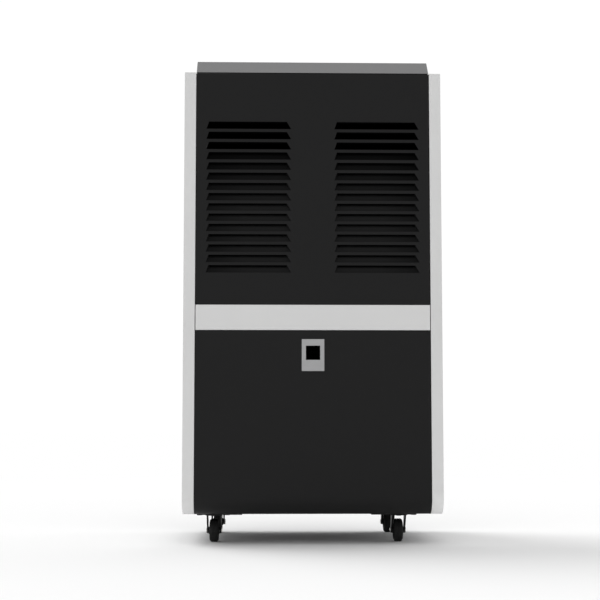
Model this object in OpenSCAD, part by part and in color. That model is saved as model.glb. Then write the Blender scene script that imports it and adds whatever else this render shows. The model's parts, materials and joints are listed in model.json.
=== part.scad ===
// Floor-standing refrigerant dehumidifier for commercial rooms, on four swivel casters.
// The origin is on the floor under the middle of the cabinet, with +Z up.
// The louvred outlet face looks along -Y and the air intake face along +Y.

/* [Cabinet] */
// Width over the two side panels
body_w = 560; // [550:5:600]
// Depth between the outlet face and the intake face
body_d = 408; // [408:2:430]
// Height of the cabinet's underside above the floor
base_z = 64; // [64:1:66]
// Height of the flat top edge of the side panels
side_top = 1025; // [1020:5:1040]
// Height of the roof above the side panels
cap_rise = 33; // [28:1:36]
// Width of each side panel's edge, seen from the front
strip_w = 25; // [24:1:28]
// Sheet metal thickness
sheet = 1.5; // [1.2:0.1:1.6]
// Radius of the rolled bottom edge
bottom_r = 38; // [36:1:40]
// Radius of the side panels' top corners
top_r = 4; // [3:0.5:6]

/* [Panels] */
// Height of the lower edge of the light belt across the outlet face
belt_z = 459.6; // [456:0.2:462]
// Height of the belt itself
belt_h = 54.6; // [52:0.2:56]
// Depth of the folded returns behind the outlet panels
return_d = 13; // [12:1:14]
// How far the latch plate, the screw heads and the filter rim stand proud
proud = 1.2; // [1:0.1:1.5]

/* [Louvres] */
// Louvre rows in each bank
louvre_rows = 15; // [10:1:15]
// Height from one louvre row to the next
louvre_pitch = 22.5; // [22:0.5:23]
// Height of one louvre opening
louvre_h = 17; // [14:0.5:17]
// Upper edge of the top louvre row
louvre_top = 915; // [910:0.2:920]
// Width of a louvre at its wide lower edge
louvre_w = 186; // [170:1:188]
// Middle of a louvre bank, measured from the middle of the cabinet
bank_x = 139.5; // [136:0.5:141]
// Slant of a louvre's left end
slant_left = 6; // [4:0.5:8]
// Slant of a louvre's right end
slant_right = 10; // [6:0.5:12]
// Angle of a louvre blade from upright
blade_angle = 26; // [24:1:34]

/* [Door and latch] */
// Swing of the lower door, written here for the clearances round its hinge
door_swing = 75; // [60:1:75]
// Width of the latch plate
latch_w = 48.6; // [46:0.2:52]
// Height of the latch plate
latch_h = 68.7; // [64:0.1:72]
// Lower edge of the latch plate
latch_z = 371.2; // [368:0.2:374]
// Side of the square pull recess
pull_w = 30; // [28:0.5:32]

/* [Controls] */
// Width of the control bezel on the roof's slope
bezel_w = 260; // [240:5:280]
// Length of the control bezel down the slope
bezel_l = 70; // [66:1:72]
// Radius of a push button
button_r = 8; // [7:0.5:9]
// Travel of a push button
button_travel = 1.5; // [1:0.1:2]

/* [Casters] */
// Radius of a caster wheel
wheel_r = 25; // [24:0.5:25]
// Width of a caster wheel's tread
wheel_w = 20; // [18:1:21]
// Distance from a swivel axis to its wheel axle
trail = 24; // [22:1:26]
// Swivel axes, measured across from the middle
caster_x = 202; // [200:1:206]
// Swivel axes, measured forward and back from the middle
caster_y = 128; // [126:1:128]
// How far the whole caster set stands off the middle, towards -X
caster_shift = 12; // [0:1:12]

/* [Cooling and air] */
// Half width of the fins of both coils
coil_x = 200; // [190:1:200]
// Depth of one coil
coil_d = 40; // [38:1:42]
// Lowest point of the coils
coil_z = 548; // [546:1:552]
// Height of the coils
coil_h = 400; // [400:10:410]
// Radius of the copper tubes in the coils
tube_r = 4.75; // [4:0.25:5]
// Radius of the blower wheels
blower_r = 82; // [76:1:84]
// Blades round a blower wheel
blower_blades = 24; // [18:1:30]
// Radius of the condensate outlet, where a hose goes on
nozzle_r = 8; // [7:0.5:9]

/* [Hidden] */
$fn = 64;
black = [0.13, 0.13, 0.135];
light = [0.80, 0.80, 0.80];
mid_grey = [0.46, 0.46, 0.47];
latch_grey = [0.60, 0.60, 0.61];
zinc = [0.66, 0.68, 0.70];
copper = [0.72, 0.42, 0.26];
rubber = [0.09, 0.09, 0.09];
plastic = [0.20, 0.20, 0.21];

gap = 0.5;                                // joint line between outer panels
fit = 0.05;                               // radial clearance of a running pin
in_x = body_w / 2 - strip_w;              // inner face of a side panel
face_y = body_d / 2;                      // distance of both faces from the middle
panel_x = in_x - gap;                     // half width of the panels between them
belt_top = belt_z + belt_h;
cap_top = side_top + cap_rise;

pan_t = 2;
pan_y = 155;                              // half depth of the base pan
pan_x = in_x - 0.6;
pan_flange = 28;
pan_top = base_z + pan_t;

post_w = 20;
post_x = pan_x - sheet - 0.4;             // outer face of a corner post
post_y = pan_y - sheet - 0.5;
post_top = side_top - 8;
deck_z = 500;

curl_y = face_y - 32;                     // where the rolled sheets end underneath
hinge_y = 14 - face_y;                    // door hinge axis
hinge_z = base_z + 28;
pin_r = 2.5;
lug_x = 226;                              // inner end of a door lug
lug_l = 12;
bracket_x = lug_x + lug_l + 2;
bracket_t = 3;

latch_mid = latch_z + latch_h / 2 + 5;    // height of the pull recess and the latch spindle
spindle_r = 4;
cup_back = 13 - face_y;                   // back face of the pull recess
lip_y = 17.5 - face_y;                    // middle of the keeper lip behind the belt
lip_drop = 20;
cam_y = 20 - face_y;
cam_t = 3;
cam_w = 14;
cam_l = 45;

service_top = belt_z + 20;
intake_z = service_top + gap;
window_x = 210;                           // half width of the intake opening
window_z = 560;
window_h = 380;
rim = 6;
frame_d = 14;
bar_pitch = 24;

cap_front = 5;                            // set-back of the roof's lower front edge
cap_run = 35;                             // depth of the front slope
slope_y = face_y - 94;                    // upper edge of the control slope
slope_foot = face_y - cap_front;
slope = atan(cap_rise / (slope_foot - slope_y));
slope_l = cap_rise / sin(slope);
cap_t = 2.5;
display_x = -55;
display_w = 90;
display_l = 32;
button_step = 28;
button_x0 = 22;

grip_l = 120;
grip_h = 38;
grip_z = 850;
grip_d = 20;

crown_top = base_z - 2.7;
crown_t = 2;
crown_r = 19;
leg_x = 12.4;
leg_t = 3.4;
axle_r = 4;
kingpin_r = 4;
plate_t = 2.2;
plate_x = 98;
plate_shift = 13;                          // how far a plate reaches towards the middle
plate_y = 60;
bolt_dx = 30;
bolt_dy = 20;
bolt_r = 3;
bolt_head = 1;

cond_y = 55;                              // front face of the condenser
evap_y = 105;                             // front face of the evaporator
rows = 8;
row_step = coil_h / rows;
row_z0 = coil_z + row_step / 2;
col_y = [10, 30];                         // tube columns, from a coil's front face
row_top = row_z0 + (rows - 1) * row_step;
tube_x = coil_x + 12;                     // where the straight tubes end

fan_y = -54;                              // blower axis
fan_z = 760;
scroll_r = 100;
scroll_x = 80;
scroll_w = 140;
scroll_t = 1.2;
mouth_y = 24 - face_y;                    // where a scroll opens behind the louvres
mouth_h = 76;
inlet_r = 60;
shaft_r = 6;
motor_r = 50;
motor_x = 58;

comp_x = 90;
comp_y = 30;
comp_r = 68;
comp_z = 96;
comp_h = 240;
foot_r = 92;
riser_x = 232;                            // where the pipes pass the deck
acc_x = -12;
acc_y = 60;

drain_x = 180;
drain_z = 150;
drain_y = 120;                            // depth of the hose drop
drain_cup_r = 34;
drain_cup_d = 28;
nozzle_out = 20;                          // free length of the hose tail
flange_t = 2.5;
pocket_x = 160;
pocket_z = 250;
pocket_h = 150;
pocket_d = 46;
cleat_x = 62;
cord_r = 4;

// A box between two corners, given as one range for each axis
module block(x, y, z) {
  translate([x[0], y[0], z[0]])
    cube([x[1] - x[0], y[1] - y[0], z[1] - z[0]]);
}

// Extrudes a side view, drawn as (y, z), along X
module along_x(x0, x1) {
  translate([x0, 0, 0])
    rotate([90, 0, 90])
      linear_extrude(x1 - x0)
        children();
}

module rod_x(r, x0, x1, y, z) {
  translate([x0, y, z])
    rotate([0, 90, 0])
      cylinder(r = r, h = x1 - x0);
}

module rod_y(r, y0, y1, x, z) {
  translate([x, y0, z])
    rotate([-90, 0, 0])
      cylinder(r = r, h = y1 - y0);
}

module both_sides() {
  children();
  mirror([1, 0, 0])
    children();
}

// Side view of the whole cabinet, drawn in by inset
module cabinet_outline(inset) {
  low = base_z + bottom_r;
  high = side_top - top_r;
  translate([inset - face_y, low])
    square([body_d - 2 * inset, high - low]);
  translate([bottom_r - face_y, base_z + inset])
    square([body_d - 2 * bottom_r, bottom_r]);
  translate([top_r - face_y, high - 1])
    square([body_d - 2 * top_r, top_r + 1 - inset]);
  for (s = [-1, 1])
    translate([s * (face_y - bottom_r), low])
      circle(bottom_r - inset);
  for (s = [-1, 1])
    translate([s * (face_y - top_r), high])
      circle(top_r - inset);
}

// The rolled sheet of the door and the service panel on the -Y side, up to top_z
module rolled_section(top_z) {
  intersection() {
    difference() {
      cabinet_outline(0);
      cabinet_outline(sheet);
    }
    translate([-face_y - 1, base_z - 1])
      square([face_y + 1 - curl_y, top_z - base_z + 1]);
  }
  translate([0.5 - face_y, top_z - sheet])
    square([return_d - 0.5, sheet]);
}

// An upright sheet tray on the -Y side, open at the back
module face_tray(x, z0, z1) {
  difference() {
    block([-x, x], [-face_y, return_d - face_y], [z0, z1]);
    block([sheet - x, x - sheet], [sheet - face_y, return_d + 1 - face_y], [z0 + sheet, z1 - sheet]);
  }
}

// One tube through a list of points whose runs all lie along X, Y or Z
module pipe_run(pts, r, bend) {
  last = len(pts) - 1;
  for (i = [0 : last - 1]) {
    a = pts[i];
    d = pts[i + 1] - a;
    u = d / norm(d);
    from = i == 0 ? 0 : bend;
    to = norm(d) - (i == last - 1 ? 0 : bend);
    translate(a + u * from)
      rotate([0, acos(u[2]), atan2(u[1], u[0])])
        cylinder(r = r, h = to - from);
  }
  for (i = [1 : 1 : last - 1]) {
    u = (pts[i] - pts[i - 1]) / norm(pts[i] - pts[i - 1]);
    v = (pts[i + 1] - pts[i]) / norm(pts[i + 1] - pts[i]);
    n = cross(u, v);
    c = pts[i] + bend * (v - u);
    multmatrix([[-v[0], u[0], n[0], c[0]],
                [-v[1], u[1], n[1], c[1]],
                [-v[2], u[2], n[2], c[2]],
                [0, 0, 0, 1]])
      rotate_extrude(angle = 90)
        translate([bend, 0])
          circle(r);
  }
}

// A pressure vessel: an upright cylinder with domed ends
module vessel(r, h, dome) {
  big = (r * r + dome * dome) / (2 * dome);
  rotate_extrude() {
    translate([0, dome])
      square([r, h - 2 * dome]);
    for (z = [0, h])
      intersection() {
        translate([0, abs(z - big)])
          circle(big, $fn = 128);
        translate([0, z == 0 ? 0 : h - dome])
          square([r, dome]);
      }
  }
}

// Places children at a caster's swivel axis, at height z
module at_caster(sx, sy, z) {
  translate([sx * caster_x - caster_shift, sy * caster_y, z])
    children();
}

module base_pan() {
  color(zinc)
    difference() {
      block([-pan_x, pan_x], [-pan_y, pan_y], [base_z, base_z + pan_flange]);
      block([sheet - pan_x, pan_x - sheet], [sheet - pan_y, pan_y - sheet],
            [pan_top, base_z + pan_flange + 1]);
      for (sx = [-1, 1], sy = [-1, 1], bx = [-1, 1], by = [-1, 1])
        at_caster(sx, sy, base_z - 1)
          translate([bx * bolt_dx, by * bolt_dy, 0])
            cylinder(r = bolt_r + 0.1, h = pan_t + 2);
    }
}

module angle_post() {
  difference() {
    block([post_x - post_w, post_x], [-post_y, post_w - post_y], [pan_top, post_top]);
    block([post_x - post_w - 1, post_x - sheet], [sheet - post_y, post_w + 1 - post_y],
          [pan_top - 1, post_top + 1]);
  }
}

// Posts, roof rails and the plates that carry the door's pins, welded as one frame
module frame() {
  rail_z = post_top - post_w;
  color(zinc) {
    for (m = [0, 1])
      mirror([0, m, 0]) {
        both_sides()
          angle_post();
        difference() {
          block([-post_x, post_x], [-post_y, post_w - post_y], [rail_z, post_top]);
          block([-post_x - 1, post_x + 1], [sheet - post_y, post_w + 1 - post_y],
                [rail_z - 1, post_top - sheet]);
        }
      }
    both_sides()
      difference() {
        block([post_x - post_w, post_x], [-post_y, post_y], [rail_z, post_top]);
        block([post_x - post_w - 1, post_x - sheet], [-post_y - 1, post_y + 1],
              [rail_z - 1, post_top - sheet]);
      }
    both_sides()
      difference() {
        along_x(bracket_x, bracket_x + bracket_t)
          polygon([[0.5 - post_y, hinge_z + 28], [0.5 - post_y, hinge_z + 60],
                   [hinge_y - 6, hinge_z + 12], [hinge_y - 6, hinge_z - 8],
                   [hinge_y + 4, hinge_z - 8]]);
        rod_x(pin_r + fit, bracket_x - 1, bracket_x + bracket_t + 1, hinge_y, hinge_z);
      }
  }
}

module mid_deck() {
  notch = post_w + 2;
  deck_x = post_x - sheet - 0.4;
  color(zinc)
    difference() {
      union() {
        block([-deck_x, deck_x], [-pan_y, pan_y], [deck_z, deck_z + sheet]);
        for (s = [-1, 1])
          translate([0, s * (pan_y - sheet / 2), deck_z - 8])
            cube([2 * (post_x - notch), sheet, 16], center = true);
      }
      for (sx = [-1, 1], sy = [-1, 1])
        translate([sx * post_x, sy * post_y, deck_z])
          cube([2 * notch, 2 * notch, 40], center = true);
      for (p = [[riser_x, comp_y], [drain_x, drain_y]])
        translate([p[0], p[1], deck_z - 1])
          cylinder(r = 14, h = 4);
    }
}

// The right-hand side panel: a folded tray with a hole for the hand grip
module side_panel() {
  difference() {
    along_x(in_x, body_w / 2)
      cabinet_outline(0);
    along_x(in_x - 1, body_w / 2 - sheet)
      cabinet_outline(sheet);
    block([in_x, body_w / 2 + 1], [-grip_l / 2, grip_l / 2], [grip_z, grip_z + grip_h]);
  }
}

module side_panel_right() {
  color(light)
    side_panel();
}

module side_panel_left() {
  color(light)
    mirror([1, 0, 0])
      side_panel();
}

module louvre_outline() {
  half = louvre_w / 2;
  polygon([[-half, 0], [half, 0], [half - slant_right, louvre_h], [slant_left - half, louvre_h]]);
}

// A blade stands on a louvre's lower edge and leans into the cabinet
module louvre_blade() {
  half = louvre_w / 2 - 0.5;
  blade_t = 1.2;
  reach = louvre_h * 0.98;
  translate([0, sheet / 2 + 0.25, 0])
    rotate([-blade_angle, 0, 0])
      translate([0, blade_t / 2, 0])
        rotate([90, 0, 0])
          linear_extrude(blade_t)
            polygon([[-half, -0.6], [half, -0.6],
                     [half - slant_right, reach], [slant_left - half, reach]]);
}

module each_louvre() {
  for (s = [-1, 1], i = [0 : louvre_rows - 1])
    translate([s * bank_x, -face_y, louvre_top - louvre_h - i * louvre_pitch])
      children();
}

module outlet_panel() {
  bend = 4;
  color(black) {
    difference() {
      face_tray(panel_x, belt_top + gap, side_top);
      each_louvre()
        translate([0, sheet + 1, 0])
          rotate([90, 0, 0])
            linear_extrude(sheet + 2)
              louvre_outline();
      along_x(-panel_x - 1, panel_x + 1)
        difference() {
          translate([-face_y - 1, side_top - bend])
            square([bend + 1, bend + 1]);
          translate([bend - face_y, side_top - bend])
            circle(bend);
        }
    }
    each_louvre()
      louvre_blade();
  }
}

// The belt hides the joint between the two outlet panels, and its lip keeps the latch
module belt_band() {
  color(light) {
    face_tray(in_x - 1.5, belt_z, belt_top);
    block([-22, 22], [return_d - face_y - sheet, lip_y], [belt_z, belt_z + sheet]);
    block([-22, 22], [lip_y - sheet, lip_y], [belt_z - lip_drop, belt_z + sheet]);
  }
}

module door_lug() {
  difference() {
    intersection() {
      along_x(lug_x, lug_x + lug_l)
        cabinet_outline(0.5);
      union() {
        rod_x(6, lug_x, lug_x + lug_l, hinge_y, hinge_z);
        block([lug_x, lug_x + lug_l], [-face_y, hinge_y], [hinge_z - 4, hinge_z + 6]);
      }
    }
    rod_x(pin_r + fit, lug_x - 1, lug_x + lug_l + 1, hinge_y, hinge_z);
  }
}

module access_door() {
  top_z = belt_z - gap;
  hole_w = latch_w - 5;
  hole_h = latch_h - 5;
  color(black) {
    difference() {
      union() {
        along_x(-panel_x, panel_x)
          rolled_section(top_z);
        both_sides()
          block([panel_x - sheet, panel_x], [0.5 - face_y, return_d - face_y],
                [hinge_z + 18, top_z]);
      }
      block([-hole_w / 2, hole_w / 2], [-face_y - 1, sheet + 1 - face_y],
            [latch_z + 2.5, latch_z + 2.5 + hole_h]);
    }
    both_sides()
      door_lug();
  }
}

module hinge_pins() {
  color(zinc)
    both_sides() {
      rod_x(pin_r, lug_x - 2, bracket_x + bracket_t + 2, hinge_y, hinge_z);
      rod_x(pin_r + 1.5, bracket_x + bracket_t, bracket_x + bracket_t + 2, hinge_y, hinge_z);
    }
}

module latch_plate() {
  color(latch_grey)
    difference() {
      block([-latch_w / 2, latch_w / 2], [-face_y - proud, -face_y],
            [latch_z, latch_z + latch_h]);
      block([-pull_w / 2 - 0.3, pull_w / 2 + 0.3], [-face_y - proud - 1, 1 - face_y],
            [latch_mid - pull_w / 2 - 0.3, latch_mid + pull_w / 2 + 0.3]);
    }
}

// The finger pull: a square cup with a flange that is held behind the latch plate
module latch_cup() {
  half = pull_w / 2;
  wall = 1.5;
  color(plastic)
    difference() {
      union() {
        block([-half, half], [0.2 - face_y - proud, cup_back], [latch_mid - half, latch_mid + half]);
        block([2.8 - latch_w / 2, latch_w / 2 - 2.8], [-face_y, sheet - face_y],
              [latch_z + 2.8, latch_z + latch_h - 2.8]);
      }
      block([wall - half, half - wall], [-face_y - proud - 1, cup_back - wall],
            [latch_mid - half + wall, latch_mid + half - wall]);
      rod_y(spindle_r + fit, cup_back - wall - 1, cup_back + 1, 0, latch_mid);
    }
}

module latch_knob() {
  knob_y = cup_back - 2;
  color(black) {
    rod_y(spindle_r, knob_y - 2, cam_y + cam_t + 3, 0, latch_mid);
    rod_y(10, knob_y - 2, knob_y, 0, latch_mid);
    block([-9, 9], [knob_y - 7, knob_y - 1], [latch_mid - 2, latch_mid + 2]);
  }
}

module latch_cam() {
  color(zinc)
    difference() {
      union() {
        block([0, cam_l], [cam_y, cam_y + cam_t], [latch_mid - cam_w / 2, latch_mid + cam_w / 2]);
        rod_y(cam_w / 2, cam_y, cam_y + cam_t, 0, latch_mid);
      }
      rod_y(spindle_r + 0.02, cam_y - 1, cam_y + cam_t + 1, 0, latch_mid);
    }
}

// Places children on the roof's control slope, with +Z away from it
module on_slope() {
  translate([0, (slope_y + slope_foot) / 2, side_top + cap_rise / 2])
    rotate([-slope, 0, 0])
      children();
}

module top_cap() {
  color(mid_grey)
    difference() {
      along_x(-panel_x, panel_x)
        polygon([[cap_front - face_y, side_top], [slope_foot, side_top],
                 [slope_y, cap_top], [cap_front + cap_run - face_y, cap_top]]);
      along_x(cap_t - panel_x, panel_x - cap_t)
        polygon([[cap_front + 3.7 - face_y, side_top - 1], [slope_foot - 7.5, side_top - 1],
                 [slope_y - 0.5, cap_top - cap_t],
                 [cap_front + cap_run + 1 - face_y, cap_top - cap_t]]);
      on_slope()
        cube([bezel_w - 10, bezel_l - 10, 30], center = true);
    }
}

module button_holes() {
  for (i = [0 : 3])
    translate([button_x0 + i * button_step, 0, -10])
      cylinder(r = button_r + fit, h = 20);
}

module control_bezel() {
  color(black)
    on_slope()
      difference() {
        union() {
          translate([0, 0, 0.51])
            cube([bezel_w, bezel_l, 0.98], center = true);
          translate([0, 0, -2])
            cube([bezel_w - 11, bezel_l - 11, 4.2], center = true);
        }
        translate([display_x, 0, 0])
          cube([display_w, display_l, 20], center = true);
        button_holes();
      }
}

module display_lens() {
  color([0.05, 0.07, 0.09])
    on_slope()
      translate([display_x, 0, -0.2])
        cube([display_w - 0.4, display_l - 0.4, 2], center = true);
}

// A round push button, held by a collar behind the bezel
module button(index) {
  color(light)
    on_slope()
      translate([button_x0 + index * button_step, 0, 0]) {
        translate([0, 0, -5])
          cylinder(r = button_r, h = 6 + button_travel + 0.4);
        translate([0, 0, -6.2])
          cylinder(r = button_r + 1.5, h = 2);
      }
}

module button_power() {
  button(0);
}

module button_mode() {
  button(1);
}

module button_up() {
  button(2);
}

module button_down() {
  button(3);
}

// Screw places on the intake face, as (x, z)
screw_spots = [for (x = [-235, 235], z = [180, 320, 460, 500, 750, 1000]) [x, z]];

module screw_holes() {
  for (p = screw_spots)
    rod_y(2.1, face_y - 3, face_y + 1, p[0], p[1]);
}

module intake_panel() {
  color(black)
    difference() {
      rotate([0, 0, 180])
        face_tray(panel_x, intake_z, side_top);
      block([-window_x, window_x], [face_y - sheet - 1, face_y + 1],
            [window_z, window_z + window_h]);
      screw_holes();
    }
}

// The intake grille is the front of a cassette that pulls out with the filter behind it
module filter_frame() {
  x = window_x - 0.3;
  z0 = window_z + 0.3;
  z1 = window_z + window_h - 0.3;
  wall = 4;
  color(plastic) {
    difference() {
      union() {
        block([-x, x], [face_y - frame_d, face_y + 0.2], [z0, z1]);
        block([-x - rim, x + rim], [face_y, face_y + proud], [z0 - rim, z1 + rim]);
      }
      block([wall - x, x - wall], [face_y - frame_d - 1, face_y + proud + 1],
            [z0 + wall, z1 - wall]);
    }
    for (z = [z0 + bar_pitch : bar_pitch : z1 - bar_pitch / 2])
      block([1 - x, x - 1], [face_y - 10, face_y + 0.6], [z - 1.5, z + 1.5]);
    for (bx = [-x / 3, x / 3])
      block([bx - 2, bx + 2], [face_y - 9, face_y - 1], [z0 + 1, z1 - 1]);
  }
}

module filter_mesh() {
  x = window_x - 4.6;
  color([0.3, 0.32, 0.35])
    block([-x, x], [face_y - frame_d + 0.2, face_y - frame_d + 2.7],
          [window_z + 4.6, window_z + window_h - 4.6]);
}

module service_panel() {
  color(black)
    difference() {
      union() {
        mirror([0, 1, 0]) {
          along_x(-panel_x, panel_x)
            rolled_section(service_top);
          both_sides()
            block([panel_x - sheet, panel_x], [0.5 - face_y, return_d - face_y],
                  [hinge_z + 18, service_top]);
        }
        rod_y(drain_cup_r, face_y - drain_cup_d, face_y - 0.5, drain_x, drain_z);
        block([-pocket_x, pocket_x], [face_y - pocket_d, face_y - 0.5],
              [pocket_z, pocket_z + pocket_h]);
      }
      rod_y(drain_cup_r - sheet, face_y - drain_cup_d + sheet, face_y + 1, drain_x, drain_z);
      rod_y(nozzle_r - 0.8, face_y - drain_cup_d - 1, face_y, drain_x, drain_z);
      block([sheet - pocket_x, pocket_x - sheet], [face_y - pocket_d + sheet, face_y + 1],
            [pocket_z + sheet, pocket_z + pocket_h - sheet]);
      screw_holes();
    }
}

module panel_screws() {
  color(zinc)
    for (p = screw_spots) {
      rod_y(4.5, face_y, face_y + proud, p[0], p[1]);
      rod_y(2, face_y - 8, face_y + 0.5, p[0], p[1]);
    }
}

module grip_cup() {
  outer = body_w / 2;
  half = grip_l / 2 - 0.3;
  difference() {
    union() {
      block([outer - grip_d, outer - 0.3], [-half, half], [grip_z + 0.3, grip_z + grip_h - 0.3]);
      block([outer - sheet - 2, outer - sheet], [-half - 6, half + 6],
            [grip_z - 6, grip_z + grip_h + 6]);
    }
    block([outer - grip_d + 2, outer + 1], [2 - half, half - 2],
          [grip_z + 2.3, grip_z + grip_h - 2.3]);
  }
}

module grip_cups() {
  color(plastic)
    both_sides()
      grip_cup();
}

// Rotary compressor with its weld seam and three feet
module compressor() {
  color(rubber)
    translate([comp_x, comp_y, 0])
      difference() {
        union() {
          translate([0, 0, comp_z])
            vessel(comp_r, comp_h, 26);
          translate([0, 0, comp_z + comp_h * 0.62])
            cylinder(r = comp_r + 1.5, h = 6);
          translate([20, 0, comp_z + comp_h - 12])
            cylinder(r = tube_r + 2, h = 20);
          for (a = [90, 210, 330])
            rotate([0, 0, a])
              block([0, foot_r + 14], [-15, 15], [comp_z - 3, comp_z + 8]);
        }
        for (a = [90, 210, 330])
          rotate([0, 0, a])
            translate([foot_r, 0, comp_z - 4])
              cylinder(r = 6, h = 20);
        for (a = [90, 210, 330])
          rotate([0, 0, a])
            block([comp_r - 4, foot_r + 20], [-16, 16], [comp_z, comp_z + 10]);
      }
}

// Three rubber feet under the compressor, each with its stud and nut
module grommets() {
  for (a = [90, 210, 330])
    translate([comp_x + foot_r * cos(a), comp_y + foot_r * sin(a), pan_top]) {
      color(rubber)
        difference() {
          cylinder(r = 13, h = comp_z - 3 - pan_top);
          translate([0, 0, -1])
            cylinder(r = 4.1, h = comp_z);
        }
      color(zinc) {
        cylinder(r = 4, h = comp_z + 10 - pan_top);
        translate([0, 0, comp_z + 1 - pan_top])
          cylinder(r = 7.5, h = 6, $fn = 6);
      }
    }
}

module accumulator() {
  color(rubber)
    translate([acc_x, acc_y, 0]) {
      translate([0, 0, 150])
        vessel(26, 150, 12);
      translate([0, 0, 292])
        cylinder(r = 8.5, h = 16);
    }
}

// A finned block with end plates, bored for the tubes
module coil_fins(front_y) {
  color(zinc)
    difference() {
      union() {
        block([-coil_x, coil_x], [front_y, front_y + coil_d], [coil_z, coil_z + coil_h]);
        for (s = [-1, 1])
          translate([s * (coil_x + sheet / 2), front_y + coil_d / 2, coil_z + coil_h / 2])
            cube([sheet, coil_d + 6, coil_h + 6], center = true);
      }
      for (c = col_y, i = [0 : rows - 1])
        rod_x(tube_r + fit, -tube_x - 5, tube_x + 5, front_y + c, row_z0 + i * row_step);
    }
}

// The tubes of one coil: each column is a serpentine, and the columns join at the bottom
module coil_tubes(front_y) {
  color(copper) {
    for (c = col_y) {
      for (i = [0 : rows - 1])
        rod_x(tube_r, -tube_x, tube_x, front_y + c, row_z0 + i * row_step);
      for (i = [0 : rows - 2])
        mirror([i % 2 == 0 ? 0 : 1, 0, 0])
          translate([-tube_x, front_y + c, row_z0 + (i + 0.5) * row_step])
            rotate([90, 90, 0])
              rotate_extrude(angle = -180)
                translate([row_step / 2, 0])
                  circle(tube_r);
    }
    translate([tube_x, front_y + (col_y[0] + col_y[1]) / 2, row_z0])
      rotate([0, 0, -90])
        rotate_extrude(angle = 180)
          translate([(col_y[1] - col_y[0]) / 2, 0])
            circle(tube_r);
  }
}

module evaporator_fins() {
  coil_fins(evap_y);
}

module evaporator_tubes() {
  coil_tubes(evap_y);
}

module condenser_fins() {
  coil_fins(cond_y);
}

module condenser_tubes() {
  coil_tubes(cond_y);
}

module discharge_pipe() {
  y1 = cond_y + col_y[0];
  cross_z = deck_z - 70;
  color(copper)
    pipe_run([[comp_x + 20, comp_y, comp_z + comp_h + 8], [comp_x + 20, comp_y, cross_z],
              [riser_x, comp_y, cross_z], [riser_x, comp_y, row_top], [riser_x, y1, row_top],
              [tube_x, y1, row_top]], tube_r, 12);
}

// The suction pipe comes down behind the coils and the deck, clear of the return bends
module suction_pipe() {
  x1 = riser_x - 8;
  y1 = evap_y + col_y[1];
  y2 = pan_y + 10;
  cross_z = deck_z - 45;
  color(copper)
    pipe_run([[tube_x, y1, row_top], [x1, y1, row_top], [x1, y2, row_top], [x1, y2, cross_z],
              [acc_x, y2, cross_z], [acc_x, acc_y, cross_z], [acc_x, acc_y, 308]], 6, 10);
}

// The liquid line rises from the condenser, through the drier, to the evaporator
module liquid_line() {
  y0 = cond_y + col_y[1];
  y1 = evap_y + col_y[0];
  x1 = tube_x + 14;
  top = row_top + 40;
  color(copper) {
    pipe_run([[tube_x, y0, row_top], [x1, y0, row_top], [x1, y0, top], [x1, y1, top],
              [x1, y1, row_top], [tube_x, y1, row_top]], 3.5, 7);
    translate([x1, y0, row_top + 8])
      cylinder(r = 9, h = 24);
  }
}

module drip_tray() {
  x = coil_x + 20;
  y0 = cond_y - 6;
  y1 = evap_y + coil_d + 5;
  color(plastic)
    difference() {
      union() {
        block([-x, x], [y0, y1], [deck_z + sheet + 4, coil_z - 6]);
        translate([drain_x, drain_y, deck_z - 14])
          cylinder(r = 9, h = 24);
      }
      block([2 - x, x - 2], [y0 + 2, y1 - 2], [deck_z + sheet + 6, coil_z]);
      translate([drain_x, drain_y, deck_z - 15])
        cylinder(r = 7, h = 30);
    }
}

module drain_hose() {
  color([0.75, 0.77, 0.76])
    pipe_run([[drain_x, drain_y, deck_z - 14.2], [drain_x, drain_y, drain_z],
              [drain_x, face_y - drain_cup_d - 14, drain_z]], 10, 20);
}

// The hose tail sits in a round recess, so nothing stands out past the panel
module drain_nozzle() {
  back = face_y - drain_cup_d;
  seat = back + sheet;
  tip = seat + flange_t + nozzle_out;
  color(plastic)
    difference() {
      union() {
        rod_y(nozzle_r, seat + flange_t, tip, drain_x, drain_z);
        rod_y(nozzle_r + 6, seat, seat + flange_t, drain_x, drain_z);
        rod_y(nozzle_r - 1, back - 13, seat + 1, drain_x, drain_z);
        rod_y(nozzle_r + 5, back - 4, back, drain_x, drain_z);
      }
      rod_y(nozzle_r - 2.5, back - 14, tip + 1, drain_x, drain_z);
    }
}

module fan_motor() {
  color(zinc)
    difference() {
      union() {
        rod_x(motor_r, -motor_x + 8, motor_x - 8, fan_y, fan_z);
        rod_x(motor_r - 14, -motor_x, motor_x, fan_y, fan_z);
      }
      rod_x(shaft_r + fit, -motor_x - 1, motor_x + 1, fan_y, fan_z);
    }
}

module motor_bracket() {
  half = 34;
  color(zinc) {
    block([-50, 50], [fan_y - 45, fan_y + 45], [deck_z + sheet, deck_z + sheet + 2.5]);
    both_sides()
      along_x(half, half + 3)
        difference() {
          polygon([[fan_y - 42, deck_z + sheet + 1], [fan_y + 42, deck_z + sheet + 1],
                   [fan_y + 54, fan_z - 10], [fan_y - 54, fan_z - 10]]);
          translate([fan_y, fan_z])
            circle(motor_r + fit);
        }
  }
}

module fan_shaft() {
  color(zinc)
    rod_x(shaft_r, 8 - scroll_x - scroll_w, scroll_x + scroll_w - 8, fan_y, fan_z);
}

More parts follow.
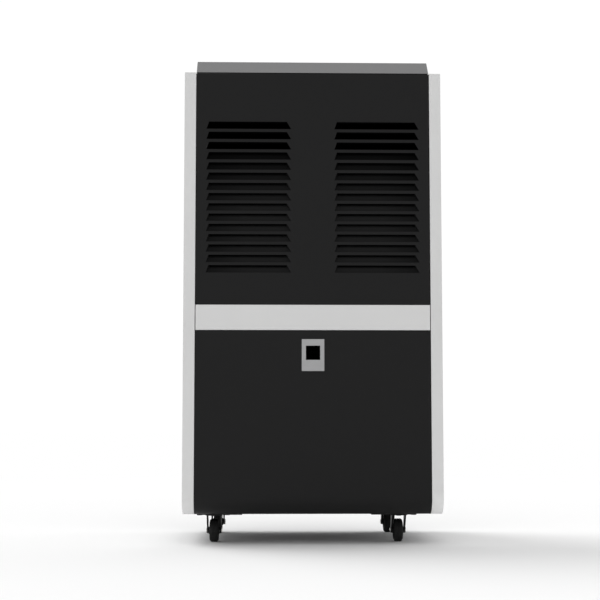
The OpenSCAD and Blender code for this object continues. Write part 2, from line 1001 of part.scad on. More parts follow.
// A double-inlet wheel: hub, middle disc, two end rings and forward blades
module blower_wheel(x0, w) {
  ring = 14;
  difference() {
    union() {
      rod_x(14, x0 + w / 2 - 20, x0 + w / 2 + 20, fan_y, fan_z);
      rod_x(blower_r - 1, x0 + w / 2 - 1, x0 + w / 2 + 1, fan_y, fan_z);
      for (x = [x0, x0 + w - 2])
        difference() {
          rod_x(blower_r, x, x + 2, fan_y, fan_z);
          rod_x(blower_r - ring, x - 1, x + 3, fan_y, fan_z);
        }
      for (i = [0 : blower_blades - 1])
        translate([x0 + 1, fan_y, fan_z])
          rotate([i * 360 / blower_blades, 0, 0])
            translate([0, blower_r - ring / 2, 0])
              rotate([35, 0, 0])
                translate([0, -ring / 2, -0.6])
                  cube([w - 2, ring - 1, 1.2]);
    }
    rod_x(shaft_r + 0.02, x0 - 1, x0 + w + 1, fan_y, fan_z);
  }
}

module blower_wheels() {
  color(plastic)
    both_sides()
      blower_wheel(scroll_x + 20, scroll_w - 40);
}

module scroll_outline(inset) {
  translate([fan_y, fan_z])
    circle(scroll_r - inset);
  translate([mouth_y, fan_z + scroll_r - mouth_h + inset])
    square([fan_y - mouth_y, mouth_h - 2 * inset]);
}

module scroll_housing() {
  for (x = [scroll_x, scroll_x + scroll_w - scroll_t])
    along_x(x, x + scroll_t)
      difference() {
        union() {
          scroll_outline(0);
          translate([fan_y - 60, deck_z + sheet])
            square([120, fan_z - deck_z - sheet - 40]);
        }
        translate([fan_y, fan_z])
          circle(inlet_r);
      }
  along_x(scroll_x, scroll_x + scroll_w)
    difference() {
      scroll_outline(0);
      scroll_outline(scroll_t);
      translate([mouth_y - 1, fan_z + scroll_r - mouth_h + scroll_t])
        square([4, mouth_h - 2 * scroll_t]);
    }
}

module scroll_housings() {
  color(zinc)
    both_sides()
      scroll_housing();
}

// The electrical box: a folded box with a lid, and two motor capacitors on its side
module control_box() {
  x = [-225, -85];
  y = [-140, -80];
  z = [130, 330];
  color(zinc) {
    difference() {
      block(x, y, z);
      block([x[0] + sheet, x[1] - sheet], [y[0] - 1, y[1] - sheet],
            [z[0] + sheet, z[1] - sheet]);
    }
    block([x[0] - 2, x[1] + 2], [y[0] - 1.5, y[0]], [z[0] - 2, z[1] + 2]);
    for (leg = [x[0] + 70, x[1] - 20])
      block([leg, leg + sheet], [y[0] + 10, y[1] - 10], [pan_top, z[0] + 1]);
  }
  color(plastic)
    for (dz = [30, 110])
      translate([x[1] + 24, (y[0] + y[1]) / 2, z[0] + dz])
        cylinder(r = 20, h = 70);
}

// One turn of the cord round both cleats
module cord_turn(y) {
  bend = 42;
  z = pocket_z + pocket_h / 2;
  for (s = [-1, 1]) {
    translate([-cleat_x, y, z + s * bend])
      rotate([0, 90, 0])
        cylinder(r = cord_r, h = 2 * cleat_x);
    translate([s * cleat_x, y, z])
      rotate([90, s * 90, 0])
        rotate_extrude(angle = 180)
          translate([bend, 0])
            circle(cord_r);
  }
}

module power_cord() {
  color(rubber) {
    for (i = [0 : 2])
      cord_turn(face_y - pocket_d + 12 + i * 7.8);
    block([-20, 20], [face_y - 20, face_y - 3], [pocket_z + 20, pocket_z + 46]);
  }
}

module cord_cleats() {
  z = pocket_z + pocket_h / 2;
  back = face_y - pocket_d + sheet;
  color(plastic)
    for (s = [-1, 1]) {
      block([s * cleat_x - 14, s * cleat_x + 14], [back, face_y - 4], [z - 24, z + 24]);
      block([s * (cleat_x + 10) - 14, s * (cleat_x + 10) + 14], [face_y - 8, face_y - 4],
            [z - 34, z + 34]);
    }
}

module caster_plate(sx) {
  difference() {
    translate([-sx * plate_shift, 0, base_z - plate_t / 2])
      cube([plate_x, plate_y, plate_t], center = true);
    for (bx = [-1, 1], by = [-1, 1])
      translate([bx * bolt_dx, by * bolt_dy, base_z - plate_t - 1])
        cylinder(r = bolt_r + 0.1, h = plate_t + 2);
  }
  translate([0, 0, crown_top + 0.2])
    cylinder(r = 16, h = base_z - plate_t - crown_top);
  translate([0, 0, crown_top - crown_t - 1])
    cylinder(r = kingpin_r, h = crown_t + 3);
  translate([0, 0, crown_top - crown_t - 1.5])
    cylinder(r = 6, h = 1.3);
  for (bx = [-1, 1], by = [-1, 1])
    translate([bx * bolt_dx, by * bolt_dy, base_z - plate_t]) {
      translate([0, 0, -bolt_head])
        cylinder(r = 5.5, h = bolt_head);
      translate([0, 0, -bolt_head / 2])
        cylinder(r = bolt_r, h = plate_t + pan_t + 8);
    }
}

module caster_plates() {
  color(black)
    for (sx = [-1, 1], sy = [-1, 1])
      at_caster(sx, sy, 0)
        caster_plate(sx);
}

module caster_fork(sx, sy) {
  color(black)
    at_caster(sx, sy, 0)
      difference() {
        union() {
          translate([0, 0, crown_top - crown_t])
            cylinder(r = crown_r, h = crown_t);
          for (x = [-leg_x - leg_t, leg_x])
            along_x(x, x + leg_t) {
              polygon([[-10, crown_top], [16, crown_top], [trail + 6.5, wheel_r],
                       [trail - 6.5, wheel_r]]);
              translate([trail, wheel_r])
                circle(6.5);
            }
        }
        translate([0, 0, crown_top - crown_t - 1])
          cylinder(r = kingpin_r + fit, h = crown_t + 2);
        rod_x(axle_r + fit, -leg_x - leg_t - 1, leg_x + leg_t + 1, trail, wheel_r);
      }
}

module caster_wheel(sx, sy) {
  tread_r = 6;
  color(rubber)
    at_caster(sx, sy, wheel_r)
      translate([0, trail, 0])
        rotate([0, 90, 0])
          rotate_extrude() {
            translate([axle_r + fit, -wheel_w / 2])
              square([wheel_r - tread_r - axle_r - fit, wheel_w]);
            translate([axle_r + fit, tread_r - wheel_w / 2])
              square([wheel_r - axle_r - fit, wheel_w - 2 * tread_r]);
            for (s = [-1, 1])
              translate([wheel_r - tread_r, s * (wheel_w / 2 - tread_r)])
                circle(tread_r);
            translate([axle_r + fit, -leg_x + 0.3])
              square([5, 2 * leg_x - 0.6]);
          }
}

module caster_axle(sx, sy) {
  color(zinc)
    at_caster(sx, sy, 0) {
      rod_x(axle_r, -leg_x - leg_t - 1, leg_x + leg_t + 1, trail, wheel_r);
      for (x = [-leg_x - leg_t - 2, leg_x + leg_t])
        rod_x(6, x, x + 2, trail, wheel_r);
    }
}

base_pan();
frame();
mid_deck();
side_panel_left();
side_panel_right();
outlet_panel();
belt_band();
access_door();
hinge_pins();
latch_plate();
latch_cup();
latch_knob();
latch_cam();
top_cap();
intake_panel();
filter_frame();
filter_mesh();
service_panel();
panel_screws();
grip_cups();
control_bezel();
display_lens();
button_power();
button_mode();
button_up();
button_down();
compressor();
grommets();
accumulator();
evaporator_fins();
evaporator_tubes();
condenser_fins();
condenser_tubes();
discharge_pipe();
suction_pipe();
liquid_line();
drip_tray();
drain_hose();
drain_nozzle();
fan_motor();
motor_bracket();
fan_shaft();
blower_wheels();
scroll_housings();
control_box();
power_cord();
cord_cleats();
caster_plates();
caster_fork(-1, -1);  // caster_fork_fl
caster_fork(1, -1);  // caster_fork_fr
caster_fork(-1, 1);  // caster_fork_rl
caster_fork(1, 1);  // caster_fork_rr
caster_wheel(-1, -1);  // caster_wheel_fl
caster_wheel(1, -1);  // caster_wheel_fr
caster_wheel(-1, 1);  // caster_wheel_rl
caster_wheel(1, 1);  // caster_wheel_rr
caster_axle(-1, -1);  // caster_axle_fl
caster_axle(1, -1);  // caster_axle_fr
caster_axle(-1, 1);  // caster_axle_rl
caster_axle(1, 1);  // caster_axle_rr
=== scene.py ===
"""The looks of a floor-standing dehumidifier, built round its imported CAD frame.

Metres, +Z up. The louvred outlet face looks along -Y and the air intake along +Y.
"""

import json
import math

import bmesh
import bpy
from mathutils import Matrix, Vector, noise

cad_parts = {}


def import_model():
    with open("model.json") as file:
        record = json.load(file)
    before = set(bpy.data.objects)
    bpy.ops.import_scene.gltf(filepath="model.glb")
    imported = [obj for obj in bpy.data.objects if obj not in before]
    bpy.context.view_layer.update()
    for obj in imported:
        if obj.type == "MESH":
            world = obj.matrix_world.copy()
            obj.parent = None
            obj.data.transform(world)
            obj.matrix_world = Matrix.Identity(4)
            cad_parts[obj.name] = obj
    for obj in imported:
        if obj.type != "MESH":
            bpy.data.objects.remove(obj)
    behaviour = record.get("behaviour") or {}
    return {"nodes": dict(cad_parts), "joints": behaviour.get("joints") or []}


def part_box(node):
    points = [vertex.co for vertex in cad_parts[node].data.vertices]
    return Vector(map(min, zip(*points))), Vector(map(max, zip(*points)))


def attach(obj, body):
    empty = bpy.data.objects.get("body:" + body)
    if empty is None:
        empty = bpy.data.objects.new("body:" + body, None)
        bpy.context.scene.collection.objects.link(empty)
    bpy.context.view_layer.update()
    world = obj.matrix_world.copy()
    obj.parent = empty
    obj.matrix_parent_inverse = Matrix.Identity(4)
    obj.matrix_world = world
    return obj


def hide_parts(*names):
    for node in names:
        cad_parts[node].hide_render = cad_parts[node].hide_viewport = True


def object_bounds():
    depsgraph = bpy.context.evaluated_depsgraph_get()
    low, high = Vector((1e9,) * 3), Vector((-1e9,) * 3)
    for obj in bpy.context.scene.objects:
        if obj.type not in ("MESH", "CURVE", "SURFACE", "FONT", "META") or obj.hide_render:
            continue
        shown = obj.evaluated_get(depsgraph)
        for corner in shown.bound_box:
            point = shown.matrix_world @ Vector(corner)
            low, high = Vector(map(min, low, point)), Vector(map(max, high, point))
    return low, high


MM = 0.001
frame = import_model()
cad_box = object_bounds()
scene = bpy.context.scene

# The two banks of pressed louvres: rows, spacing, and the size and place of a slot
ROWS = 15
PITCH = 22.5 * MM
SLOT_H = 17 * MM
SLOT_TOP = 915 * MM
SLOT_W = 186 * MM
BANK_X = 139.5 * MM
# How far a slot's upper corners stand in from its lower ones, at its left and right end
SLANT_L = 6 * MM
SLANT_R = 10 * MM
# A blade's lean from upright, its height, and the radius of the bend at its foot
BLADE = math.radians(26)
BLADE_RISE = 15 * MM
BLADE_BEND = 1.0 * MM
# The upper rows whose pockets are painted black, as painted shade
PAINTED_BLACK_ROWS = 3

CORNERS = ("fl", "fr", "rl", "rr")


# ---------------------------------------------------------------- materials

# Sockets of the Mix node when it mixes colours
MIX_A, MIX_B, MIX_RESULT = 6, 7, 2

mats = {}


class Graph:
    """A material's node tree with short calls for the nodes used here."""

    def __init__(self, name):
        self.material = bpy.data.materials.new(name)
        self.material.use_nodes = True
        self.nodes = self.material.node_tree.nodes
        self.links = self.material.node_tree.links
        self.nodes.clear()
        self.place = self.nodes.new("ShaderNodeTexCoord").outputs["Object"]

    def node(self, kind, inputs=None, **settings):
        made = self.nodes.new("ShaderNode" + kind)
        for key, value in settings.items():
            setattr(made, key, value)
        for key, value in (inputs or {}).items():
            self.put(made.inputs[key], value)
        return made

    def put(self, socket, value):
        if isinstance(value, bpy.types.NodeSocket):
            self.links.new(value, socket)
        else:
            socket.default_value = value

    def stretch(self, x, y, z):
        return self.node("Mapping", {"Vector": self.place, "Scale": (x, y, z)}).outputs["Vector"]

    def noise(self, scale, detail=3.0, rough=0.5, vector=None):
        made = self.node("TexNoise", {"Vector": vector or self.place, "Scale": scale,
                                      "Detail": detail, "Roughness": rough})
        return made.outputs["Fac"]

    def cells(self, scale, output="Distance", vector=None, **settings):
        made = self.node("TexVoronoi", {"Vector": vector or self.place, "Scale": scale}, **settings)
        return made.outputs[output]

    def math(self, operation, a, b=0.0, clamp=False):
        made = self.node("Math", operation=operation, use_clamp=clamp)
        self.put(made.inputs[0], a)
        self.put(made.inputs[1], b)
        return made.outputs[0]

    def span(self, value, low, high, to_low=0.0, to_high=1.0):
        return self.node("MapRange", {"Value": value, "From Min": low, "From Max": high,
                                      "To Min": to_low, "To Max": to_high}).outputs["Result"]

    def mix(self, factor, a, b):
        made = self.node("Mix", {"Factor": factor}, data_type="RGBA")
        for key, value in ((MIX_A, a), (MIX_B, b)):
            linked = isinstance(value, bpy.types.NodeSocket)
            self.put(made.inputs[key], value if linked else (*value, 1.0))
        return made.outputs[MIX_RESULT]

    def multiply(self, a, b):
        made = self.node("Mix", {"Factor": 1.0, MIX_A: a, MIX_B: b}, data_type="RGBA",
                         blend_type="MULTIPLY")
        return made.outputs[MIX_RESULT]

    def axis(self, source, index):
        return self.node("SeparateXYZ", {"Vector": source}).outputs[index]

    def output(self, surface):
        self.node("OutputMaterial", {"Surface": surface})
        return self.material


def tone(colour, factor):
    return tuple(min(1.0, c * factor) for c in colour)


def finish(name, colour, rough, metal=0.0, level=0.5, mottle=0.05, mottle_scale=7.0, spread=0.06,
           grain=0.15, grain_scale=900.0, grain_depth=0.04, speckle=0.0, wear=0.0,
           wear_colour=(0.3, 0.3, 0.3), dust=0.0, coat=0.0, round_edge=0.5, painted_light_and_shade=None, spangle=0.0,
           stretch=None, bumps=None):
    """A worked surface: broad tone changes, fine grain, worn edges and settled dust, and where given, painted
    light and shade multiplied into its colour and sheen.
    """
    g = Graph(name)
    vector = g.stretch(*stretch) if stretch else None
    broad = g.noise(mottle_scale, 4.0, 0.55, vector)
    fine = g.noise(grain_scale, 2.0, 0.6, vector)
    base = g.mix(g.span(broad, 0.3, 0.7), tone(colour, 1 - mottle), tone(colour, 1 + mottle))
    roughness = g.span(broad, 0.3, 0.7, rough - spread, rough + spread)
    if spangle:
        flake = g.axis(g.cells(110.0, "Color"), 0)
        base = g.mix(g.span(flake, 0.0, 1.0, 0.0, spangle), base, tone(colour, 1.25))
        roughness = g.math("ADD", roughness, g.span(flake, 0.0, 1.0, -0.06, 0.06))
    if speckle:
        spot = g.span(g.noise(grain_scale * 0.6, 1.0), 0.62, 0.72)
        base = g.mix(g.math("MULTIPLY", spot, speckle), base, tone(colour, 2.2))
    # Painted light and shade: the given factor brightens or darkens the colour, and dims the sheen where it
    # darkens
    if painted_light_and_shade:
        factor = painted_light_and_shade(g)
        painted_tint = g.node("CombineColor", {"Red": factor, "Green": factor, "Blue": factor}).outputs["Color"]
        base = g.multiply(base, painted_tint)
        level = g.math("MULTIPLY", level, g.math("MINIMUM", factor, 1.0))
    edge = g.node("Bevel", {"Radius": round_edge * MM}, samples=4).outputs["Normal"]
    geometry = g.node("NewGeometry")
    if wear:
        flat = g.node("VectorMath", operation="DOT_PRODUCT")
        g.put(flat.inputs[0], edge)
        g.put(flat.inputs[1], geometry.outputs["Normal"])
        rub = g.span(flat.outputs["Value"], 0.97, 0.80)
        rub = g.math("MULTIPLY", rub, g.span(g.noise(60.0, 4.0, 0.7), 0.48, 0.62))
        base = g.mix(g.math("MULTIPLY", rub, wear, clamp=True), base, wear_colour)
    if dust:
        up = g.span(g.axis(geometry.outputs["Normal"], 2), 0.6, 1.0)
        film = g.math("MULTIPLY", up, g.span(g.noise(14.0, 6.0, 0.7), 0.35, 0.75))
        base = g.mix(g.math("MULTIPLY", film, dust, clamp=True), base, (0.42, 0.40, 0.37))
        roughness = g.math("ADD", roughness, g.math("MULTIPLY", film, dust))
    height = fine if bumps is None else bumps(g, fine)
    normal = g.node("Bump", {"Strength": grain, "Distance": grain_depth * MM, "Height": height,
                             "Normal": edge}).outputs["Normal"]
    made = g.node("BsdfPrincipled", {"Base Color": base, "Roughness": roughness, "Metallic": metal,
                                     "Specular IOR Level": level, "Coat Weight": coat,
                                     "Coat Roughness": 0.12, "Normal": normal})
    mats[name] = g.output(made.outputs["BSDF"])


def louvre_shade(g):
    """Painted shade on the pressed pockets: darkened from the lip inwards, more so in the upper rows and
    towards their ends, lightened a little deeper in, and painted black in the top rows.
    """
    x, y, z = (g.axis(g.place, k) for k in range(3))
    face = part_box("outlet_panel")[0].y
    lip = face + 0.8 * MM
    shaded_above = SLOT_TOP - PAINTED_BLACK_ROWS * PITCH + 2.5 * MM
    depth = g.span(y, face + 0.1 * MM, lip)
    rows = g.span(z, shaded_above, shaded_above - 130 * MM, 0.13, 0.62)
    inside = g.span(y, lip, lip + 5.7 * MM, 0.95, 1.75)
    aside = g.math("ABSOLUTE", x)
    outer_end = g.span(aside, BANK_X + 10.5 * MM, BANK_X + 85.5 * MM, 1.0, 0.62)
    inner_end = g.span(aside, BANK_X - 64.5 * MM, BANK_X - 89.5 * MM, 1.0, 0.85)
    below = g.math("SUBTRACT", 1.0, g.math("GREATER_THAN", z, shaded_above))
    for factor in (inside, outer_end, inner_end, below):
        rows = g.math("MULTIPLY", rows, factor)
    return g.math("ADD", g.math("MULTIPLY", depth, rows), g.math("SUBTRACT", 1.0, depth))


def painted_foot_light(g):
    """Painted light: the light coat is brightened towards the floor, and more on the right than on the left.
    """
    right = g.span(g.axis(g.place, 0), cad_box[0][0], cad_box[1][0])
    z = g.axis(g.place, 2)

    def lift(above, below, at_top, at_foot, more_right):
        foot = g.math("ADD", at_foot, g.math("MULTIPLY", right, more_right))
        return g.span(z, above, below, at_top, foot)

    broad = lift(450 * MM, 100 * MM, 1.02, 1.07, 0.08)
    near_floor = lift(115 * MM, 66 * MM, 1.0, 1.06, 0.20)
    return g.math("MULTIPLY", broad, near_floor)


def foam_cells(g, fine):
    return g.math("ADD", g.cells(420.0), g.math("MULTIPLY", fine, 0.4))


def weave(g, fine):
    warp, weft = (g.node("TexWave", {"Vector": g.place, "Scale": 320.0}, bands_direction=way).outputs["Fac"]
                  for way in "XZ")
    return g.math("ADD", g.math("MULTIPLY", warp, weft), g.math("MULTIPLY", fine, 0.3))


BLACK = (0.0137, 0.0137, 0.0139)

finish("cabinet_black", BLACK, 0.50, level=0.10, mottle=0.035, mottle_scale=4.0, grain=0.25, speckle=0.05,
       wear=0.5, wear_colour=(0.07, 0.07, 0.07), dust=0.012)
# The outlet's black carries painted shade in its pressed pockets, from louvre_shade
finish("outlet_black", BLACK, 0.50, level=0.10, mottle=0.035, mottle_scale=4.0, grain=0.25, speckle=0.05,
       wear=0.25, wear_colour=(0.05, 0.05, 0.05), painted_light_and_shade=louvre_shade, round_edge=0.3)
# Painted light: the light coat is brightened towards its foot and on its right
finish("cabinet_light", (0.676, 0.676, 0.673), 0.42, level=0.30, mottle=0.015, mottle_scale=5.0,
       grain=0.22, wear=0.25, wear_colour=(0.42, 0.42, 0.42), dust=0.05, painted_light_and_shade=painted_foot_light)
finish("roof_grey", (0.188, 0.188, 0.191), 0.46, level=0.25, mottle=0.03, mottle_scale=5.0, grain=0.28,
       speckle=0.06, wear=0.4, wear_colour=(0.5, 0.5, 0.5), dust=0.16)
finish("latch_grey", (0.375, 0.375, 0.38), 0.40, level=0.35, mottle=0.03, mottle_scale=30.0, grain=0.2,
       wear=0.4, wear_colour=(0.6, 0.6, 0.6))
finish("zinc_sheet", (0.54, 0.56, 0.58), 0.42, metal=0.85, mottle=0.03, mottle_scale=12.0, spread=0.02,
       spangle=0.45, grain=0.12, dust=0.10)
finish("steel_pin", (0.62, 0.61, 0.59), 0.28, metal=1.0, mottle=0.10, mottle_scale=40.0, grain=0.2,
       stretch=(1, 1, 6), wear=0.3, wear_colour=(0.75, 0.74, 0.72))
finish("black_plastic", (0.010, 0.010, 0.0105), 0.52, level=0.14, mottle=0.10, mottle_scale=25.0,
       grain=0.35, grain_scale=1300.0, grain_depth=0.05, wear=0.25, wear_colour=(0.05, 0.05, 0.05),
       dust=0.02)
# Black plastic darker than black_plastic and without sheen: partly its own black, partly painted shade for
# the latch's cup and knob
finish("pit_plastic_painted_shade", (0.0005, 0.0005, 0.0005), 0.75, level=0.0, mottle=0.12, mottle_scale=25.0,
       grain=0.35, grain_scale=1300.0)
finish("dark_plastic", (0.028, 0.028, 0.030), 0.48, level=0.30, mottle=0.08, mottle_scale=22.0,
       grain=0.35, grain_scale=1200.0, wear=0.3, wear_colour=(0.10, 0.10, 0.10), dust=0.05)
finish("filter", (0.075, 0.080, 0.085), 0.75, level=0.2, mottle=0.14, mottle_scale=9.0, grain=0.6,
       grain_scale=1500.0, dust=0.08)
finish("lens", (0.004, 0.005, 0.006), 0.08, level=0.5, mottle=0.2, mottle_scale=15.0, spread=0.02,
       grain=0.03, coat=0.6)
finish("button_light", (0.60, 0.60, 0.59), 0.42, level=0.35, mottle=0.03, mottle_scale=60.0, grain=0.25,
       grain_scale=1500.0, wear=0.3, wear_colour=(0.35, 0.35, 0.35))
finish("compressor_black", (0.012, 0.012, 0.013), 0.30, level=0.45, mottle=0.12, mottle_scale=18.0,
       grain=0.5, grain_scale=350.0, grain_depth=0.12, wear=0.2, wear_colour=(0.05, 0.045, 0.04),
       dust=0.10)
finish("rubber_black", (0.011, 0.011, 0.011), 0.70, level=0.18, mottle=0.15, mottle_scale=30.0, grain=0.5,
       grain_scale=1400.0, dust=0.05)
finish("fins", (0.66, 0.68, 0.70), 0.34, metal=0.95, mottle=0.08, mottle_scale=16.0, grain=0.2, dust=0.06)
finish("copper_tube", (0.72, 0.36, 0.20), 0.30, metal=1.0, mottle=0.22, mottle_scale=26.0, spread=0.12,
       grain=0.2, wear=0.3, wear_colour=(0.30, 0.13, 0.07))
finish("hose_clear", (0.52, 0.55, 0.53), 0.30, level=0.5, mottle=0.06, mottle_scale=30.0, grain=0.3,
       coat=0.3)
finish("motor_case", (0.20, 0.21, 0.22), 0.42, metal=0.6, mottle=0.08, mottle_scale=24.0, grain=0.4,
       grain_scale=500.0, dust=0.12)
finish("caster_black", (0.0095, 0.0095, 0.010), 0.45, level=0.18, mottle=0.10, mottle_scale=60.0,
       grain=0.35, grain_scale=1400.0, wear=0.35, wear_colour=(0.06, 0.06, 0.06), dust=0.02)
finish("tread", (0.016, 0.016, 0.016), 0.75, level=0.15, mottle=0.20, mottle_scale=90.0, grain=0.6,
       grain_scale=1600.0, wear=0.5, wear_colour=(0.045, 0.043, 0.040))
finish("foam", (0.020, 0.020, 0.022), 0.95, level=0.05, mottle=0.15, mottle_scale=35.0, grain=0.9,
       grain_scale=900.0, grain_depth=0.6, bumps=foam_cells, dust=0.05)
# The near-black sheet behind the louvres, there as painted shade
finish("shade_fleece", (0.0045, 0.0045, 0.0048), 0.95, level=0.02, mottle=0.25, mottle_scale=70.0, grain=0.8,
       grain_scale=700.0, grain_depth=0.3, bumps=weave)
finish("wire_red", (0.36, 0.02, 0.015), 0.45, mottle=0.08, mottle_scale=60.0, grain=0.2)
finish("wire_blue", (0.02, 0.07, 0.30), 0.45, mottle=0.08, mottle_scale=60.0, grain=0.2)
finish("wire_earth", (0.40, 0.42, 0.03), 0.45, mottle=0.08, mottle_scale=60.0, grain=0.2)
finish("print_dark", (0.03, 0.03, 0.032), 0.55, level=0.3, mottle=0.10, mottle_scale=90.0, grain=0.2)
finish("tie_white", (0.62, 0.62, 0.58), 0.45, level=0.4, mottle=0.05, mottle_scale=50.0, grain=0.25)
finish("brass", (0.70, 0.50, 0.20), 0.32, metal=1.0, mottle=0.15, mottle_scale=50.0, grain=0.2)


def glow_material():
    """The display's lit bars, a little brighter in their middle."""
    g = Graph("display_glow")
    spread = g.span(g.noise(260.0, 2.0), 0.3, 0.7, 0.85, 1.15)
    light = g.node("Emission", {"Color": (0.30, 0.85, 0.75, 1.0), "Strength": spread})
    mats["display_glow"] = g.output(light.outputs["Emission"])


glow_material()


# ---------------------------------------------------------------- mesh helpers

def publish(name, bm, material, body, smooth=35.0, replaces=()):
    """Turns a bmesh into a piece that rides on a body."""
    mesh = bpy.data.meshes.new(name)
    bm.to_mesh(mesh)
    bm.free()
    mesh.shade_smooth()
    mesh.set_sharp_from_angle(angle=math.radians(smooth))
    obj = bpy.data.objects.new(name, mesh)
    scene.collection.objects.link(obj)
    mesh.materials.append(mats[material])
    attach(obj, body)
    if replaces:
        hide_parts(*replaces)
    return obj


def soft_box(bm, lo, hi, r=0.0, steps=2):
    """Adds a box between two corners with rounded edges."""
    size = [hi[i] - lo[i] for i in range(3)]
    middle = [(hi[i] + lo[i]) / 2 for i in range(3)]
    made = bmesh.ops.create_cube(bm, size=1.0, matrix=Matrix.LocRotScale(middle, None, size))["verts"]
    if r > 0:
        edges = list({e for v in made for e in v.link_edges})
        made = bmesh.ops.bevel(bm, geom=edges, offset=r, segments=steps, profile=0.5, affect="EDGES",
                               clamp_overlap=True)["verts"]
    return made


def turn_matrix(centre, axis):
    """A matrix that takes +Z to axis and the origin to centre."""
    turn = Vector((0, 0, 1)).rotation_difference(Vector(axis))
    return Matrix.Translation(centre) @ turn.to_matrix().to_4x4()


def patch(bm, corners):
    """A face through corners, of which two may be the same point."""
    apart = list(dict.fromkeys(corners))
    if len(apart) > 2:
        bm.faces.new(apart)


def wall(bm, low, high):
    """Joins two closed loops of as many points with a band of faces."""
    for k, _ in enumerate(low):
        n = (k + 1) % len(low)
        bm.faces.new((low[k], low[n], high[n], high[k]))


def loop_edges(bm, loops):
    """The edges round closed loops of points, made where they aren't there yet."""
    edges = []
    for loop in loops:
        for a, b in zip(loop, loop[1:] + loop[:1]):
            edges.append(bm.edges.get((a, b)) or bm.edges.new((a, b)))
    return edges


def lathe(bm, profile, centre, axis, steps=48, closed=False):
    """Turns a profile of (radius, distance along the axis) about an axis."""
    place = turn_matrix(centre, axis)
    rings = []
    for r, t in profile:
        if r == 0:
            rings.append([bm.verts.new(place @ Vector((0, 0, t)))] * steps)
        else:
            rings.append([bm.verts.new(place @ Vector((x, y, t))) for x, y in ring_points(r, steps)])
    for low, high in zip(rings, rings[1:] + rings[:1] if closed else rings[1:]):
        for k in range(steps):
            n = (k + 1) % steps
            patch(bm, (low[k], low[n], high[n], high[k]))


def prism(bm, outline, place, depth):
    """A solid from a 2D outline, standing on the local XY plane of place and depth tall."""
    low = [bm.verts.new(place @ Vector((x, y, 0))) for x, y in outline]
    high = [bm.verts.new(place @ Vector((x, y, depth))) for x, y in outline]
    bm.faces.new(list(reversed(low)))
    bm.faces.new(high)
    wall(bm, low, high)


def ring_points(r, steps, x=0.0, y=0.0):
    """Points round a circle of radius r about x, y."""
    angles = [math.tau * k / steps for k in range(steps)]
    return [(x + r * math.cos(a), y + r * math.sin(a)) for a in angles]


def cable(name, points, radius, material, body, replaces=(), sides=4):
    """A round cable or pipe through points, with smooth bends."""
    data = bpy.data.curves.new(name, "CURVE")
    data.dimensions = "3D"
    data.bevel_depth = radius
    data.bevel_resolution = sides
    data.use_fill_caps = True
    data.resolution_u = 6
    line = data.splines.new("NURBS")
    line.points.add(len(points) - 1)
    for target, p in zip(line.points, points):
        target.co = (*p, 1.0)
    line.order_u = 4
    line.use_endpoint_u = True
    obj = bpy.data.objects.new(name + "_path", data)
    scene.collection.objects.link(obj)
    bpy.context.view_layer.update()
    mesh = bpy.data.meshes.new_from_object(obj.evaluated_get(bpy.context.evaluated_depsgraph_get()))
    bpy.data.objects.remove(obj)
    bm = bmesh.new()
    bm.from_mesh(mesh)
    bmesh.ops.remove_doubles(bm, verts=bm.verts, dist=1e-6)
    return publish(name, bm, material, body, 40.0, replaces)


def dress(node, material, bevel=0.0, steps=2, limit=40.0):
    """Gives a carried-over CAD node its finish, and rounds its edges with modifiers."""
    obj = frame["nodes"][node]
    obj.data.materials.clear()
    obj.data.materials.append(mats[material])
    if bevel:
        weld = obj.modifiers.new("weld", "WELD")
        weld.merge_threshold = 1e-6
        flatten = obj.modifiers.new("flatten", "DECIMATE")
        flatten.decimate_type = "DISSOLVE"
        flatten.angle_limit = math.radians(0.5)
        edge = obj.modifiers.new("edge", "BEVEL")
        edge.width = bevel * MM
        edge.segments = steps
        edge.limit_method = "ANGLE"
        edge.angle_limit = math.radians(limit)
        edge.use_clamp_overlap = True
        edge.harden_normals = True
    return obj


# ---------------------------------------------------------------- outlet face with pressed louvres

def fold(r, reach, steps=5):
    """Profile of a folded edge: (out, in) distances from the flat face."""
    angles = [math.pi / 2 * k / steps for k in range(1, steps + 1)]
    return [(r * math.sin(a), r * (1 - math.cos(a))) for a in angles] + [(r, reach)]


def blade_profile(bends=4, straights=(0.35, 0.7, 1.0)):
    """A blade's (depth, height) points: a round bend at its foot, then a straight lean."""
    bend = [(BLADE_BEND * (1 - math.cos(a)), BLADE_BEND * math.sin(a))
            for a in (BLADE * k / bends for k in range(bends + 1))]
    depth, height = bend[-1]
    climb = BLADE_RISE - height
    reach = climb * math.tan(BLADE)
    return bend + [(depth + reach * t, height + climb * t) for t in straights]


